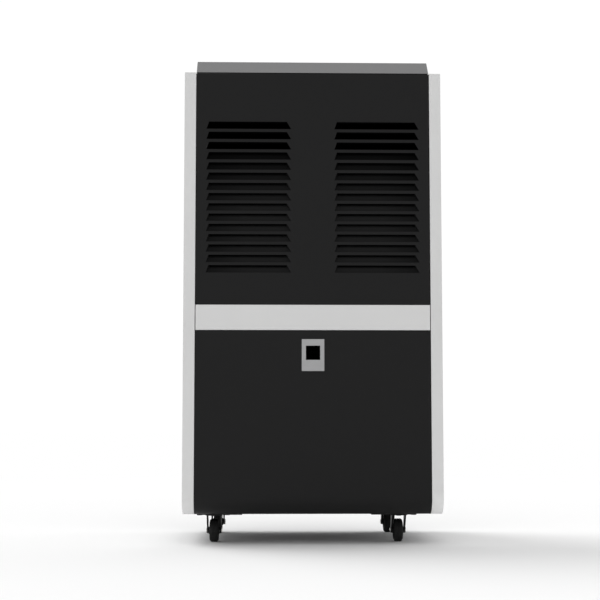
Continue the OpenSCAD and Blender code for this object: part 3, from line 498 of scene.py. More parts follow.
class PressedSheet:
    """One connected sheet on the outlet face, whose patches share their corner points."""

    def __init__(self, face):
        self.bm = bmesh.new()
        self.face = face
        self.seen = {}

    def vert(self, x, y, z):
        key = (round(x * 1e7), round(y * 1e7), round(z * 1e7))
        if key not in self.seen:
            self.seen[key] = self.bm.verts.new((x, y, z))
        return self.seen[key]

    def flat(self, points):
        """A face in the outlet's plane through (x, z) points."""
        self.bm.faces.new([self.vert(x, self.face, z) for x, z in points])

    def band(self, line_a, line_b):
        """A band of faces between two lines of as many points, which may share some."""
        for a, b, c, d in zip(line_a, line_b, line_b[1:], line_a[1:]):
            patch(self.bm, [self.vert(*p) for p in (a, b, c, d)])

    def edge(self, line, along, r, reach):
        """Folds the sheet back over a rounded edge; along is the way out, as (x, z)."""
        last = line
        for out, back in fold(r, reach):
            row = [(x + along[0] * out, self.face + back, z + along[1] * out) for x, _, z in line]
            self.band(last, row)
            last = row

    def blade(self, bank, low, profile):
        """One pressed pocket: a leaning blade with drawn cheeks at both of its ends."""
        ends = []
        for side, (foot_x, head_x) in ((1, (bank[1], bank[2])), (-1, (bank[4], bank[3]))):
            rim, roll, line = [], [], []
            for depth, height in profile:
                t = height / BLADE_RISE
                rim_x = foot_x + (head_x - foot_x) * t
                cheek_x = foot_x + (head_x - foot_x) * height / SLOT_H + side * 0.42 * depth
                rim.append((rim_x, self.face, low + SLOT_H * t))
                line.append((cheek_x, self.face + depth, low + height))
                roll.append((rim_x + side * min(0.5 * MM, 0.3 * depth),
                             self.face + min(1.3 * MM, 0.6 * depth),
                             low + 0.35 * height + 0.65 * SLOT_H * t))
            ends.append(line)
            self.band(rim, roll)
            self.band(roll, line)
        self.band(*ends)


def face_sheet(sheet, banks, slots, x0, x1, z0, z1):
    """The flat of the face, left open at the slots."""
    for far_l, low_l, high_l, high_r, low_r, far_r in banks:
        for zb, zt in slots:
            sheet.flat([(far_l, zb), (low_l, zb), (high_l, zt), (far_l, zt)])
            sheet.flat([(low_r, zb), (far_r, zb), (far_r, zt), (high_r, zt)])
        for (zb, _), (_, zt) in zip(slots, slots[1:]):
            sheet.flat([(far_l, zt), (high_l, zt), (high_r, zt), (far_r, zt), (far_r, zb), (low_r, zb),
                        (low_l, zb), (far_l, zb)])
    (al, b0, b1, b2, b3, ar), (cl, d0, d1, d2, d3, cr) = banks
    top, bottom = slots[0][1], slots[-1][0]
    sheet.flat([(x, top) for x in (x0, al, b1, b2, ar, cl, d1, d2, cr, x1)] + [(x1, z1), (x0, z1)])
    sheet.flat([(x0, z0), (x1, z0)] + [(x, bottom) for x in (x1, cr, d3, d0, cl, ar, b3, b0, al, x0)])
    up = sorted(z for slot in slots for z in slot)
    down = up[::-1]
    sheet.flat([(x0, bottom)] + [(al, z) for z in up] + [(x0, top)])
    sheet.flat([(ar, z) for z in down] + [(cl, z) for z in up])
    sheet.flat([(cr, z) for z in down] + [(x1, bottom), (x1, top)])


def sharpen_flats(mesh):
    """Marks the edges round the flat face as sharp, so that its shading stays even."""
    uses = {}
    for face in mesh.polygons:
        for key in face.edge_keys:
            uses.setdefault(key, []).append(abs(face.normal.y) > 0.99999)
    for edge in mesh.edges:
        if uses[edge.key].count(True) == 1:
            edge.use_edge_sharp = True


def outlet_face():
    """The upper black panel: folded edges and two banks of pressed louvres in one sheet."""
    lo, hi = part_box("outlet_panel")
    sheet = PressedSheet(lo.y)
    r_side, r_top = 1.5 * MM, 4 * MM
    margin = 5 * MM
    x0, x1 = lo.x + r_side, hi.x - r_side
    z0, z1 = lo.z + r_side, hi.z - r_top
    slots = [(SLOT_TOP - SLOT_H - k * PITCH, SLOT_TOP - k * PITCH) for k in range(ROWS)]
    banks = []
    for middle in (-BANK_X, BANK_X):
        left, right = middle - SLOT_W / 2, middle + SLOT_W / 2
        banks.append((left - margin, left, left + SLANT_L, right - SLANT_R, right, right + margin))
    face_sheet(sheet, banks, slots, x0, x1, z0, z1)
    reach = hi.y - lo.y
    levels = (z0, slots[-1][0], slots[0][1], z1)
    for way, x in ((-1, x0), (1, x1)):
        sheet.edge([(x, lo.y, z) for z in levels], (way, 0), r_side, reach)
    sheet.edge([(x, lo.y, z1) for x in (x0, x1)], (0, 1), r_top, reach)
    sheet.edge([(x, lo.y, z0) for x in (x0, x1)], (0, -1), r_side, reach)
    profile = blade_profile()
    for bank in banks:
        for low, _ in slots:
            sheet.blade(bank, low, profile)
    bm = sheet.bm
    bmesh.ops.recalc_face_normals(bm, faces=bm.faces)
    if max(bm.faces, key=lambda f: f.calc_area()).normal.y > 0:
        bmesh.ops.reverse_faces(bm, faces=bm.faces)
    obj = publish("outlet_face", bm, "outlet_black", "cabinet", 30.0, ["outlet_panel"])
    solid = obj.modifiers.new("sheet", "SOLIDIFY")
    solid.thickness = 1.2 * MM
    solid.offset = -1.0
    solid.use_even_offset = True
    sharpen_flats(obj.data)


def shade_sheet():
    """A thin near-black sheet between the louvres and the blower mouths, put there as painted shade so the
    louvre gaps read dark.
    """
    lo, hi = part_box("outlet_panel")
    y = (hi.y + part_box("scroll_housings")[0].y) / 2
    half, side, end = 0.5 * MM, 8 * MM, 20 * MM
    bm = bmesh.new()
    soft_box(bm, (lo.x + side, y - half, lo.z + end), (hi.x - side, y + half, hi.z - end), 0.3 * MM)
    publish("louvre_shade_sheet", bm, "shade_fleece", "cabinet")


outlet_face()
shade_sheet()


# ---------------------------------------------------------------- cabinet, door and latch

for side in ("left", "right"):
    dress("side_panel_" + side, "cabinet_light", 0.5, 3)
dress("belt_band", "cabinet_light", 0.5)
dress("top_cap", "roof_grey", 1.2, 3, 15.0)
for panel in ("access_door", "service_panel", "intake_panel"):
    dress(panel, "cabinet_black", 0.5)
dress("latch_plate", "latch_grey", 0.35)
dress("latch_cup", "pit_plastic_painted_shade", 0.3)
dress("latch_knob", "pit_plastic_painted_shade", 0.4)
dress("latch_cam", "steel_pin", 0.4)
dress("hinge_pins", "steel_pin", 0.3)
dress("base_pan", "cabinet_black", 0.4)
dress("frame", "zinc_sheet", 0.3)
dress("mid_deck", "zinc_sheet", 0.3)
dress("grip_cups", "black_plastic", 0.8, 3)
dress("control_bezel", "black_plastic", 0.5)
dress("display_lens", "lens", 0.25)
for button in ("power", "mode", "up", "down"):
    dress("button_" + button, "button_light", 0.5, 3)
dress("filter_frame", "dark_plastic", 0.4)
dress("compressor", "compressor_black")
dress("grommets", "rubber_black", 0.5)
dress("accumulator", "compressor_black")
for pipe in ("evaporator_tubes", "condenser_tubes", "discharge_pipe", "liquid_line"):
    dress(pipe, "copper_tube")
dress("suction_pipe", "rubber_black")
dress("drip_tray", "dark_plastic", 0.6)
dress("drain_hose", "hose_clear")
dress("fan_motor", "motor_case", 1.0, 3)
dress("motor_bracket", "zinc_sheet", 0.3)
dress("fan_shaft", "steel_pin")
dress("blower_wheels", "dark_plastic")
dress("scroll_housings", "zinc_sheet", 0.2)
dress("control_box", "zinc_sheet", 0.5)
dress("cord_cleats", "black_plastic", 1.5, 3)
dress("caster_plates", "caster_black", 0.5)
for corner in CORNERS:
    dress("caster_fork_" + corner, "caster_black", 0.5, 3)


# ---------------------------------------------------------------- casters

ALONG_X = (1, 0, 0)
ALONG_Y = (0, 1, 0)
ALONG_Z = (0, 0, 1)
# Radius at which the tread sits on the hub
WHEEL_RIM = 17.5 * MM


def mm(*points):
    """Points given in millimetres, in metres."""
    return [tuple(v * MM for v in point) for point in points]


def wheel_core(corner, centre, hub):
    """The moulded hub: a web between the bore and the rim, with spokes on both of its faces."""
    hub_mm = hub / MM
    half = mm((4.05, -hub_mm), (7.4, -hub_mm), (8.2, 0.8 - hub_mm), (8.8, -4), (14.5, -3.4), (15.4, -8.2),
              (16.2, -9), (17.5, -9))
    bm = bmesh.new()
    lathe(bm, half + [(r, -t) for r, t in reversed(half)], centre, ALONG_X, 56, closed=True)
    for k in range(6):
        turn = Matrix.Translation(centre) @ Matrix.Rotation(math.tau * k / 6, 4, "X")
        for near, far in mm((-7.6, -3.0), (3.0, 7.6)):
            made = soft_box(bm, (near, -0.9 * MM, 8 * MM), (far, 0.9 * MM, 15.8 * MM), 0.3 * MM)
            bmesh.ops.transform(bm, matrix=turn, verts=made)
    publish("wheel_core_" + corner, bm, "caster_black", "wheel_" + corner, 30.0,
            ["caster_wheel_" + corner])


def wheel_tread(corner, centre, radius, half=10 * MM, crown_r=6 * MM, steps=8):
    """The tread: rounded shoulders and two shallow grooves."""
    crown = [(radius - crown_r + crown_r * math.sin(a), -half + crown_r - crown_r * math.cos(a))
             for a in (math.pi / 2 * k / steps for k in range(steps + 1))]
    groove = [(radius - depth, t) for depth, t in mm((0.05, -2.6), (0.55, -2.3), (0.55, -1.7), (0.02, -1.4))]
    seat = [(WHEEL_RIM + out, -half + t) for out, t in mm((-0.2, 1.2), (0.4, 0.2))]
    left = seat + crown + groove
    bm = bmesh.new()
    lathe(bm, left + [(radius, 0.0)] + [(r, -t) for r, t in reversed(left)], centre, ALONG_X, 72, closed=True)
    publish("wheel_tread_" + corner, bm, "tread", "wheel_" + corner, 30.0)


def caster_wheel(corner):
    lo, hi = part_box("caster_wheel_" + corner)
    centre = (lo + hi) / 2
    wheel_core(corner, centre, (hi.x - lo.x) / 2)
    wheel_tread(corner, centre, (hi.z - lo.z) / 2)


def caster_axle(corner):
    """Axle with a domed head at one end and a hexagon nut at the other."""
    lo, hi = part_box("caster_axle_" + corner)
    centre = (lo + hi) / 2
    end = (hi.x - lo.x) / 2
    head = [(r, t - end) for r, t in mm((0, 0), (3.2, 0.05), (5.2, 0.7), (5.9, 1.5), (5.9, 2), (4, 2))]
    tip = [(r, end - t) for r, t in mm((4, 0.5), (3.6, 0.1), (0, 0.1))]
    bm = bmesh.new()
    lathe(bm, head + tip, centre, ALONG_X, 40)
    nut_at = turn_matrix((hi.x - 2 * MM, centre.y, centre.z), ALONG_X)
    prism(bm, ring_points(6 * MM, 6), nut_at, 1.7 * MM)
    publish("axle_bolt_" + corner, bm, "steel_pin", "fork_" + corner, 30.0,
            ["caster_axle_" + corner])


for corner in CORNERS:
    caster_wheel(corner)
    caster_axle(corner)


# ---------------------------------------------------------------- intake side

def cross_head(bm, centre, axis, r, h):
    """A pan-head screw with a cross recess."""
    place = turn_matrix(centre, axis)
    dome = [(1.0, 0.0), (1.0, 0.35), (0.93, 0.7), (0.78, 0.92), (0.62, 1.0)]
    rings = [[bm.verts.new(place @ Vector((x, y, t * h))) for x, y in ring_points(q * r, 24)]
             for q, t in dome]
    for low, high in zip(rings, rings[1:]):
        wall(bm, low, high)
    bm.faces.new(list(reversed(rings[0])))
    w, l = 0.13 * r, 0.50 * r
    arm = [(w, w), (w, l), (-w, l)]
    cross = []
    for _ in range(4):
        cross += arm
        arm = [(-y, x) for x, y in arm]
    rim = [bm.verts.new(place @ Vector((x, y, h))) for x, y in cross]
    pit = [bm.verts.new(place @ Vector((x * 0.7, y * 0.7, 0.35 * h))) for x, y in cross]
    bmesh.ops.triangle_fill(bm, edges=loop_edges(bm, (rings[-1], rim)), use_beauty=True)
    wall(bm, pit, rim)
    bm.faces.new(pit)


def panel_screws():
    """The screws down both edges of the intake and service panels."""
    lo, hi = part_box("panel_screws")
    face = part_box("intake_panel")[1].y
    head_r, shank_r = 4.5 * MM, 2 * MM
    shank = [(0, 0), (shank_r, 0), (shank_r, face - lo.y), (0, face - lo.y)]
    bm = bmesh.new()
    for x in (lo.x + head_r, hi.x - head_r):
        for z in (180 * MM, 320 * MM, 460 * MM, 500 * MM, 750 * MM, 1000 * MM):
            cross_head(bm, (x, face, z), ALONG_Y, head_r, hi.y - face)
            lathe(bm, shank, (x, lo.y, z), ALONG_Y, 16)
    bmesh.ops.recalc_face_normals(bm, faces=bm.faces)
    publish("panel_screw_set", bm, "steel_pin", "cabinet", 30.0, ["panel_screws"])


def thread_strip(bm, points, half, across):
    """A square-section thread through points; across is the way over its width."""
    sides = (across, Vector(ALONG_Y), -across, -Vector(ALONG_Y))
    rings = [[bm.verts.new(p + side * half) for side in sides] for p in points]
    for a, b in zip(rings, rings[1:]):
        wall(bm, a, b)
    bm.faces.new(list(reversed(rings[0])))
    bm.faces.new(rings[-1])


def filter_net():
    """The intake filter: crossed threads in a moulded rim, bowed a little by the air."""
    lo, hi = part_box("filter_mesh")
    rim = 6 * MM
    bm = bmesh.new()
    for low, high in (((lo.x, lo.z), (hi.x, lo.z + rim)), ((lo.x, hi.z - rim), (hi.x, hi.z)),
                      ((lo.x, lo.z + rim), (lo.x + rim, hi.z - rim)),
                      ((hi.x - rim, lo.z + rim), (hi.x, hi.z - rim))):
        soft_box(bm, (low[0], lo.y, low[1]), (high[0], hi.y, high[1]), 0.5 * MM)
    publish("filter_rim", bm, "dark_plastic", "filter")

    pitch, half, over, sag, steps = 3.2 * MM, 0.275 * MM, 0.12 * MM, 0.7 * MM, 12
    edge = rim - 1 * MM

    def on_net(x, z, offset):
        u = 2 * (x - lo.x) / (hi.x - lo.x) - 1
        v = 2 * (z - lo.z) / (hi.z - lo.z) - 1
        return Vector((x, (lo.y + hi.y) / 2 - sag * (1 - u * u) * (1 - v * v) + offset, z))

    def places(low, high):
        count = int((high - low - 2 * rim) / pitch)
        return [low + rim + k * (high - low - 2 * rim) / (count + 1) for k in range(1, count + 1)]

    def run(low, high):
        return [low + edge + (high - low - 2 * edge) * k / steps for k in range(steps + 1)]

    bm = bmesh.new()
    for x in places(lo.x, hi.x):
        thread_strip(bm, [on_net(x, z, over) for z in run(lo.z, hi.z)], half, Vector(ALONG_X))
    for z in places(lo.z, hi.z):
        thread_strip(bm, [on_net(x, z, -over) for x in run(lo.x, hi.x)], half, Vector(ALONG_Z))
    bmesh.ops.recalc_face_normals(bm, faces=bm.faces)
    publish("filter_net", bm, "filter", "filter", 60.0, ["filter_mesh"])


def hex_nut(bm, place, across, bore, thick):
    """A hexagon nut with its round hole, standing on the local XY plane of place."""
    layers = []
    for t in (0.0, thick):
        layer = [[bm.verts.new(place @ Vector((x, y, t))) for x, y in outline]
                 for outline in (ring_points(across, 6), ring_points(bore, 24))]
        bmesh.ops.triangle_fill(bm, edges=loop_edges(bm, layer), use_beauty=True)
        layers.append(layer)
    for low, high in zip(*layers):
        wall(bm, low, high)


def drain_tail(barbs=4):
    """Barbed hose tail with its flange, threaded neck and lock nut."""
    lo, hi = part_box("drain_nozzle")
    middle = (lo + hi) / 2
    axis = Vector((middle.x, 0, middle.z))
    seat = lo.y + 14.5 * MM
    outer = mm((5.5, 0), (7, 0.5), (7, 14.5), (14, 14.5), (14, 16.4), (13.3, 17), (7.4, 17))
    for k in range(barbs):
        start = 18.2 + 4.6 * k
        outer += mm((7.1, start), (8, start + 0.5), (7.1, start + 4.4))
    profile = [(r, lo.y + t) for r, t in outer] + [(r, hi.y) for r in (6.4 * MM, 5.5 * MM)]
    bm = bmesh.new()
    lathe(bm, profile, axis, ALONG_Y, 48, closed=True)
    hex_nut(bm, turn_matrix((axis.x, seat - 5.5 * MM, axis.z), ALONG_Y), 13 * MM, 7.05 * MM, 4 * MM)
    bmesh.ops.recalc_face_normals(bm, faces=bm.faces)
    publish("drain_tail", bm, "dark_plastic", "cabinet", 30.0, ["drain_nozzle"])


def cord_winding(middle_z, y0, y1, post=62 * MM, sweep=42 * MM, turns=3, steps=28):
    """Points of turns round two cleats: straight below and above, half circles at the ends."""
    straight = 2 * post / (2 * post + math.pi * sweep) / 2
    points = []
    for k in range(turns * steps + 1):
        u = k % steps / steps
        half = u % 0.5
        if half < straight:
            x, z = -post + 2 * post * half / straight, -sweep
        else:
            a = -math.pi / 2 + math.pi * (half - straight) / (0.5 - straight)
            x, z = post + sweep * math.cos(a), sweep * math.sin(a)
        side = 1 if u < 0.5 else -1
        drift = 1.1 * MM * noise.noise((k * 0.19, 3.1, 7.7))
        points.append((side * x, y0 + (y1 - y0) * k / (turns * steps), middle_z + side * z + drift))
    return points


def stored_cord():
    """The power cord in three loose turns round its cleats, with a round-pin plug."""
    lo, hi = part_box("cord_cleats")
    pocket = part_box("service_panel")[0].y
    middle_z = (lo.z + hi.z) / 2
    hole = Vector((-118 * MM, pocket + 2.5 * MM, middle_z - 52 * MM))
    plug = Vector((-26 * MM, pocket + 34.5 * MM, middle_z - 42 * MM))
    points = [hole + Vector(step) for step in mm((0, 0, 0), (0, 5.5, 0), (6, 9.5, 2), (23, 9.7, 8))]
    points += cord_winding(middle_z, pocket + 12.2 * MM, pocket + 28.2 * MM)
    points += [plug + Vector(step) for step in mm((-24, -3, 0), (-10, 0, 0), (4, 0, 0))]
    cable("power_cord_coil", points, 3.9 * MM, "rubber_black", "cabinet", ["power_cord"])

    bm = bmesh.new()
    lathe(bm, mm((0, 0), (4.6, 0), (4.9, 2), (4.4, 3), (5.2, 4), (5.2, 6), (4.6, 7), (5.6, 8), (5.6, 10),
                 (5.0, 11), (6.2, 12.5), (8.4, 17), (9.0, 24), (9.0, 31), (8.4, 33.5), (7.6, 34), (0, 34)),
          plug, ALONG_X, 36)
    flatten = (Matrix.Translation((0, plug.y, 0)) @ Matrix.Diagonal((1, 0.86, 1, 1))
               @ Matrix.Translation((0, -plug.y, 0)))
    bmesh.ops.transform(bm, matrix=flatten, verts=bm.verts)
    publish("cord_plug", bm, "black_plastic", "cabinet", 40.0)

    bm = bmesh.new()
    for side in (-1, 1):
        lathe(bm, mm((0, 0), (2.3, 0), (2.3, 11), (1.9, 12.6), (1.0, 13.2), (0, 13.2)),
              plug + Vector((33.8 * MM, 0, side * 4.6 * MM)), ALONG_X, 20)
    publish("plug_pins", bm, "brass", "cabinet", 40.0)

    bm = bmesh.new()
    lathe(bm, mm((4.0, 0), (7.6, 0), (8.2, 0.8), (7.6, 1.8), (5.2, 2.6), (4.0, 2.6)),
          (hole.x, pocket + 1.6 * MM, hole.z), ALONG_Y, 32, closed=True)
    publish("cord_grommet", bm, "rubber_black", "cabinet", 40.0)


panel_screws()
filter_net()
drain_tail()
stored_cord()


# ---------------------------------------------------------------- controls on the roof's rear slope

press = next(j for j in frame["joints"] if j["name"] == "power_press")
slope_up = -Vector(press["axis"]).normalized()
across = Vector((1, 0, 0))
uphill = slope_up.cross(across).normalized()


def slope_place(centre):
    """Local X to the reader's right, Y uphill, Z out of the slope, for a reader behind the machine."""
    right, up = -across, -uphill
    if up.z < 0:
        right, up = across, uphill
    return Matrix.Translation(centre) @ Matrix((right, up, slope_up)).transposed().to_4x4()


def on_slope(node):
    """The middle of a control's outer face, as a place to draw on."""
    lo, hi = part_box(node)
    centre = (lo + hi) / 2
    top = max(v.co.dot(slope_up) for v in frame["nodes"][node].data.vertices)
    return slope_place(centre + slope_up * (top - centre.dot(slope_up)))


def arc_points(r, start, end, steps, y=0.0):
    """Points on an arc between two angles in degrees, about (0, y)."""
    angles = [math.radians(start + (end - start) * k / steps) for k in range(steps + 1)]
    return [(r * math.cos(a), r * math.sin(a) + y) for a in angles]


def arc(r0, r1, start, end, steps=20):
    """Outline of a piece of a ring."""
    return arc_points(r1, start, end, steps) + arc_points(r0, end, start, steps)


def raised(name, node, outlines, material, body):
    """Thin marks on a control's face, from outlines in millimetres."""
    place = on_slope(node)
    bm = bmesh.new()
    for outline in outlines:
        prism(bm, mm(*outline), place, 0.12 * MM)
    bmesh.ops.recalc_face_normals(bm, faces=bm.faces)
    publish(name, bm, material, body, 30.0)


def bar(x, y, level, length=7.2, wide=1.7, tip=0.8):
    """Outline of one pointed bar of a digit, level or upright."""
    l, w = length / 2, wide / 2
    outline = [(-l, 0), (tip - l, w), (l - tip, w), (l, 0), (l - tip, -w), (tip - l, -w)]
    return [(x + a, y + b) if level else (x + b, y + a) for a, b in outline]


def display():
    """A generic humidity reading, 50 %, with a drop beside it."""
    bars = {"a": (0, 9, True), "b": (4.5, 4.5, False), "c": (4.5, -4.5, False), "d": (0, -9, True),
            "e": (-4.5, -4.5, False), "f": (-4.5, 4.5, False), "g": (0, 0, True)}
    outlines = []
    for shift, shown in ((-22, "afgcd"), (-6, "abcdef")):
        outlines += [bar(shift + x, y, level) for x, y, level in (bars[key] for key in shown)]
    outlines += [ring_points(1.9, 20, x, y) for x, y in ((8, 5), (15, -5))]
    foot, head = Vector((8, -7)), Vector((15, 7))
    side = (head - foot).normalized().orthogonal() * 0.5
    outlines.append([foot + side, foot - side, head - side, head + side])
    drop = [(0, 6.5)] + arc_points(3.4, 30, -210, 10, -1.5)
    outlines.append([(32 + x, y) for x, y in drop])
    raised("display_digits", "display_lens", outlines, "display_glow", "cabinet")


display()
for button, outlines in (
        ("power", [arc(2.9, 3.7, 125, 415), [(-0.4, 0.8), (0.4, 0.8), (0.4, 4.4), (-0.4, 4.4)]]),
        ("mode", [arc(2.9, 3.6, 20, 160), arc(2.9, 3.6, 200, 340), arc(0.6, 1.3, 0, 359)]),
        ("up", [[(-3.4, -2.0), (3.4, -2.0), (0, 3.2)]]),
        ("down", [[(-3.4, 2.0), (0, -3.2), (3.4, 2.0)]])):
    raised("mark_" + button, "button_" + button, outlines, "print_dark", button + "_key")


# ---------------------------------------------------------------- coils

def fin(bm, x, y0, y1, z0, z1, ripples=6, wave=0.28 * MM, half=0.09 * MM):
    """One thin fin across the air flow, rippled along it."""
    rows = []
    for j in range(ripples + 1):
        y = y0 + (y1 - y0) * j / ripples
        middle = x + (wave if j % 2 else -wave)
        rows.append([bm.verts.new(corner) for corner in
                     ((middle - half, y, z0), (middle + half, y, z0), (middle + half, y, z1),
                      (middle - half, y, z1))])
    for a, b in zip(rows, rows[1:]):
        wall(bm, a, b)
    bm.faces.new(rows[0])
    bm.faces.new(rows[-1])


def fin_stack(node):
    """A pack of thin fins between two end plates."""
    lo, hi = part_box(node + "_fins")
    plate, inset, pitch = 1.5 * MM, 3 * MM, 2.6 * MM
    wide = hi.x - lo.x - 2 * plate
    count = int(wide / pitch)
    bm = bmesh.new()
    for k in range(1, count):
        x = lo.x + plate + k * wide / count + 0.25 * MM * noise.noise((k * 0.37, 1.7, 4.2))
        fin(bm, x, lo.y + inset, hi.y - inset, lo.z + inset, hi.z - inset)
    for x in (lo.x, hi.x - plate):
        soft_box(bm, (x, lo.y, lo.z), (x + plate, hi.y, hi.z), 0.3 * MM)
    bmesh.ops.recalc_face_normals(bm, faces=bm.faces)
    publish(node + "_fin_stack", bm, "fins", "cabinet", 20.0, [node + "_fins"])


fin_stack("evaporator")
fin_stack("condenser")


# ---------------------------------------------------------------- inside the lower door

def egg_foam(name, x0, x1, z0=0.125, z1=0.425, pitch=24 * MM):
    """A sound-absorbing foam pad on the door's inside, with a wavy face."""
    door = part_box("access_door")[0].y
    skin, face = door + 1.6 * MM, door + 12 * MM
    columns = int((x1 - x0) / pitch * 8)
    rows = int((z1 - z0) / pitch * 8)
    bm = bmesh.new()
    front, back = [], []
    for i in range(columns + 1):
        x = x0 + (x1 - x0) * i / columns
        front.append([])
        back.append([])
        for k in range(rows + 1):
            z = z0 + (z1 - z0) * k / rows
            wave = 0.5 + 0.5 * math.sin(math.tau * (x - x0) / pitch) * math.sin(math.tau * (z - z0) / pitch)
            edge = min(1.0, min(i, columns - i, k, rows - k) / 2)
            front[i].append(bm.verts.new((x, skin + (face - skin) * (0.35 + 0.62 * wave * edge), z)))
            back[i].append(bm.verts.new((x, skin, z)))
    for grid in (front, back):
        for a, b in zip(grid, grid[1:]):
            for k in range(rows):
                bm.faces.new((a[k], b[k], b[k + 1], a[k + 1]))
    rim = ([(i, 0) for i in range(columns)] + [(columns, k) for k in range(rows)]
           + [(i, rows) for i in range(columns, 0, -1)] + [(0, k) for k in range(rows, 0, -1)])
    wall(bm, [front[i][k] for i, k in rim], [back[i][k] for i, k in rim])
    bmesh.ops.recalc_face_normals(bm, faces=bm.faces)
    publish(name, bm, "foam", "door", 60.0)


def terminal_cover():
    """The moulded terminal cover on the compressor, with its ribs and clip screw."""
    lo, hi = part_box("compressor")
    x = (lo.x + hi.x) / 2 - 28 * MM
    y = lo.y + 7 * MM
    bm = bmesh.new()
    soft_box(bm, (x - 26 * MM, y - 16 * MM, lo.z + 112 * MM), (x + 26 * MM, y + 16 * MM, lo.z + 182 * MM),
             4 * MM, 3)
    for k in range(4):
        z = lo.z + (129 + 12 * k) * MM
        soft_box(bm, (x - 20 * MM, y - 16.9 * MM, z), (x + 20 * MM, y - 15.2 * MM, z + 3 * MM), 0.4 * MM)
    publish("terminal_cover", bm, "black_plastic", "cabinet")
    bm = bmesh.new()
    cross_head(bm, (x, y - 16.6 * MM, lo.z + 175 * MM), (0, -1, 0), 4 * MM, 2 * MM)
    bmesh.ops.recalc_face_normals(bm, faces=bm.faces)
    publish("terminal_screw", bm, "steel_pin", "cabinet")


def route(start, *steps):
    """Points at steps from a start, in millimetres."""
    return [start + Vector(step) for step in mm(*steps)]


def motor_wires():
    """Three wires that sag from the electrical box to the terminal cover."""
    lo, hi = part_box("control_box")
    can_lo, can_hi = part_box("compressor")
    start = Vector((hi.x - 44 * MM, lo.y + 20 * MM, hi.z - 17 * MM))
    low = Vector((hi.x + 31 * MM, hi.y + 5 * MM, hi.z - 70 * MM))
    cover = Vector(((can_lo.x + can_hi.x) / 2 - 54 * MM, can_lo.y + 5 * MM, can_lo.z + 145 * MM))
    for name, material, gap in (("wire_line", "wire_red", 0.0), ("wire_neutral", "wire_blue", 5 * MM),
                                ("wire_earth", "wire_earth", 10 * MM)):
        aside = Vector((0, gap, 0))
        points = route(start + aside, (0, 0, 0), (18, 0, 6), (45, 0, -4))
        points += [low + aside] + route(cover + Vector((0, gap, gap)), (-16, -6, 0), (2, -4, 0))
        cable(name, points, 1.5 * MM, material, "cabinet", sides=3)


def fan_loom():
    """The fan motor's cable, from the electrical box up to the deck, with its ties."""
    lo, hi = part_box("control_box")
    foot = Vector((lo.x + 77 * MM, hi.y - 15 * MM, hi.z))
    points = route(foot, (0, 0, 0), (0, 0, 28), (-5, -5, 88), (-5, -5, 138), (-5, -5, 166.5))
    cable("fan_loom", points, 4 * MM, "rubber_black", "cabinet")
    bm = bmesh.new()
    for place in route(foot, (-2.5, -3, 43), (-5, -5, 98), (-5, -5, 143)):
        lathe(bm, mm((4.05, -1.4), (5.0, -1.4), (5.0, 1.4), (4.05, 1.4)), place, ALONG_Z, 24, closed=True)
    publish("cable_ties", bm, "tie_white", "cabinet")


def box_screws():
    """Screws that hold the electrical box's lid."""
    lo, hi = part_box("control_box")
    bm = bmesh.new()
    for x in (lo.x + 10 * MM, lo.x + 134 * MM):
        for z in (lo.z + 72 * MM, hi.z - 10 * MM):
            cross_head(bm, (x, lo.y, z), (0, -1, 0), 3.6 * MM, 1.8 * MM)
    bmesh.ops.recalc_face_normals(bm, faces=bm.faces)
    publish("lid_screws", bm, "steel_pin", "cabinet")


egg_foam("door_foam_left", -0.215, -0.045)
egg_foam("door_foam_right", 0.060, 0.215)
terminal_cover()
motor_wires()
fan_loom()
box_screws()


# ---------------------------------------------------------------- studio

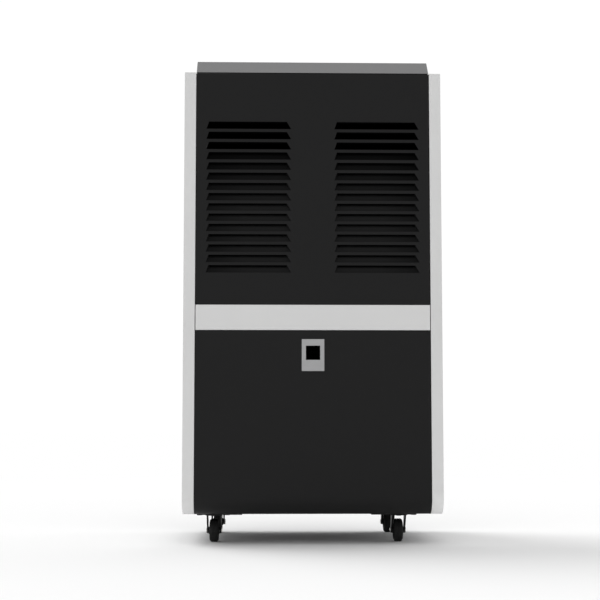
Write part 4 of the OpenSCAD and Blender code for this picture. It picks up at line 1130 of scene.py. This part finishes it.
def floor(radius=30.0, albedo=0.90, fade=(1.5, 3.4)):
    """A pale floor that turns into the white backdrop between two distances from the machine."""
    mesh = bpy.data.meshes.new("studio_floor")
    bm = bmesh.new()
    bmesh.ops.create_circle(bm, cap_ends=True, radius=radius, segments=96)
    bm.to_mesh(mesh)
    bm.free()
    obj = bpy.data.objects.new("studio_floor", mesh)
    scene.collection.objects.link(obj)
    g = Graph("studio_floor")
    away = g.node("VectorMath", {0: g.place}, operation="LENGTH").outputs["Value"]
    matte = g.node("BsdfDiffuse", {"Color": (albedo, albedo, albedo, 1.0)})
    glow = g.node("Emission", {"Color": (1, 1, 1, 1), "Strength": 1.0})
    both = g.node("MixShader", {0: g.span(away, *fade), 1: matte.outputs["BSDF"],
                                2: glow.outputs["Emission"]})
    mesh.materials.append(g.output(both.outputs["Shader"]))


def world(seen=1.02, lit=0.78):
    """A white surround: one strength as the camera sees it, another as it lights the machine."""
    made = bpy.data.worlds.new("studio")
    scene.world = made
    made.use_nodes = True
    nodes, links = made.node_tree.nodes, made.node_tree.links
    nodes.clear()
    mix = nodes.new("ShaderNodeMixShader")
    links.new(nodes.new("ShaderNodeLightPath").outputs["Is Camera Ray"], mix.inputs[0])
    for socket, strength in ((1, lit), (2, seen)):
        light = nodes.new("ShaderNodeBackground")
        light.inputs["Color"].default_value = (1, 1, 1, 1)
        light.inputs["Strength"].default_value = strength
        links.new(light.outputs[0], mix.inputs[socket])
    links.new(mix.outputs[0], nodes.new("ShaderNodeOutputWorld").inputs["Surface"])


def sun(name, toward, height, energy, spread):
    """A broad soft light from a compass direction, at a height in degrees."""
    data = bpy.data.lights.new(name, "SUN")
    data.energy = energy
    data.angle = math.radians(spread)
    obj = bpy.data.objects.new(name, data)
    scene.collection.objects.link(obj)
    flat = Vector(toward).normalized()
    aim = Vector((flat.x, flat.y, math.tan(math.radians(height)))).normalized()
    obj.rotation_euler = aim.to_track_quat("Z", "Y").to_euler()


def camera(place=(-0.1035, -3.183, 0.267), up=4.94, left=-1.45, lens=83.06):
    """A long lens low in front of the outlet face, turned up and sideways by degrees."""
    data = bpy.data.cameras.new("camera")
    data.lens = lens
    data.sensor_width = 36.0
    obj = bpy.data.objects.new("camera", data)
    obj.location = place
    obj.rotation_euler = (math.radians(90 + up), 0, math.radians(left))
    scene.collection.objects.link(obj)
    scene.camera = obj


floor()
world()
sun("key", (-0.82, 0.60), 50, 1.24, 38)
sun("fill", (0.95, 0.35), 28, 0.28, 40)
camera()
scene.view_settings.view_transform = "Standard"
scene.view_settings.look = "None"

bpy.context.view_layer.update()
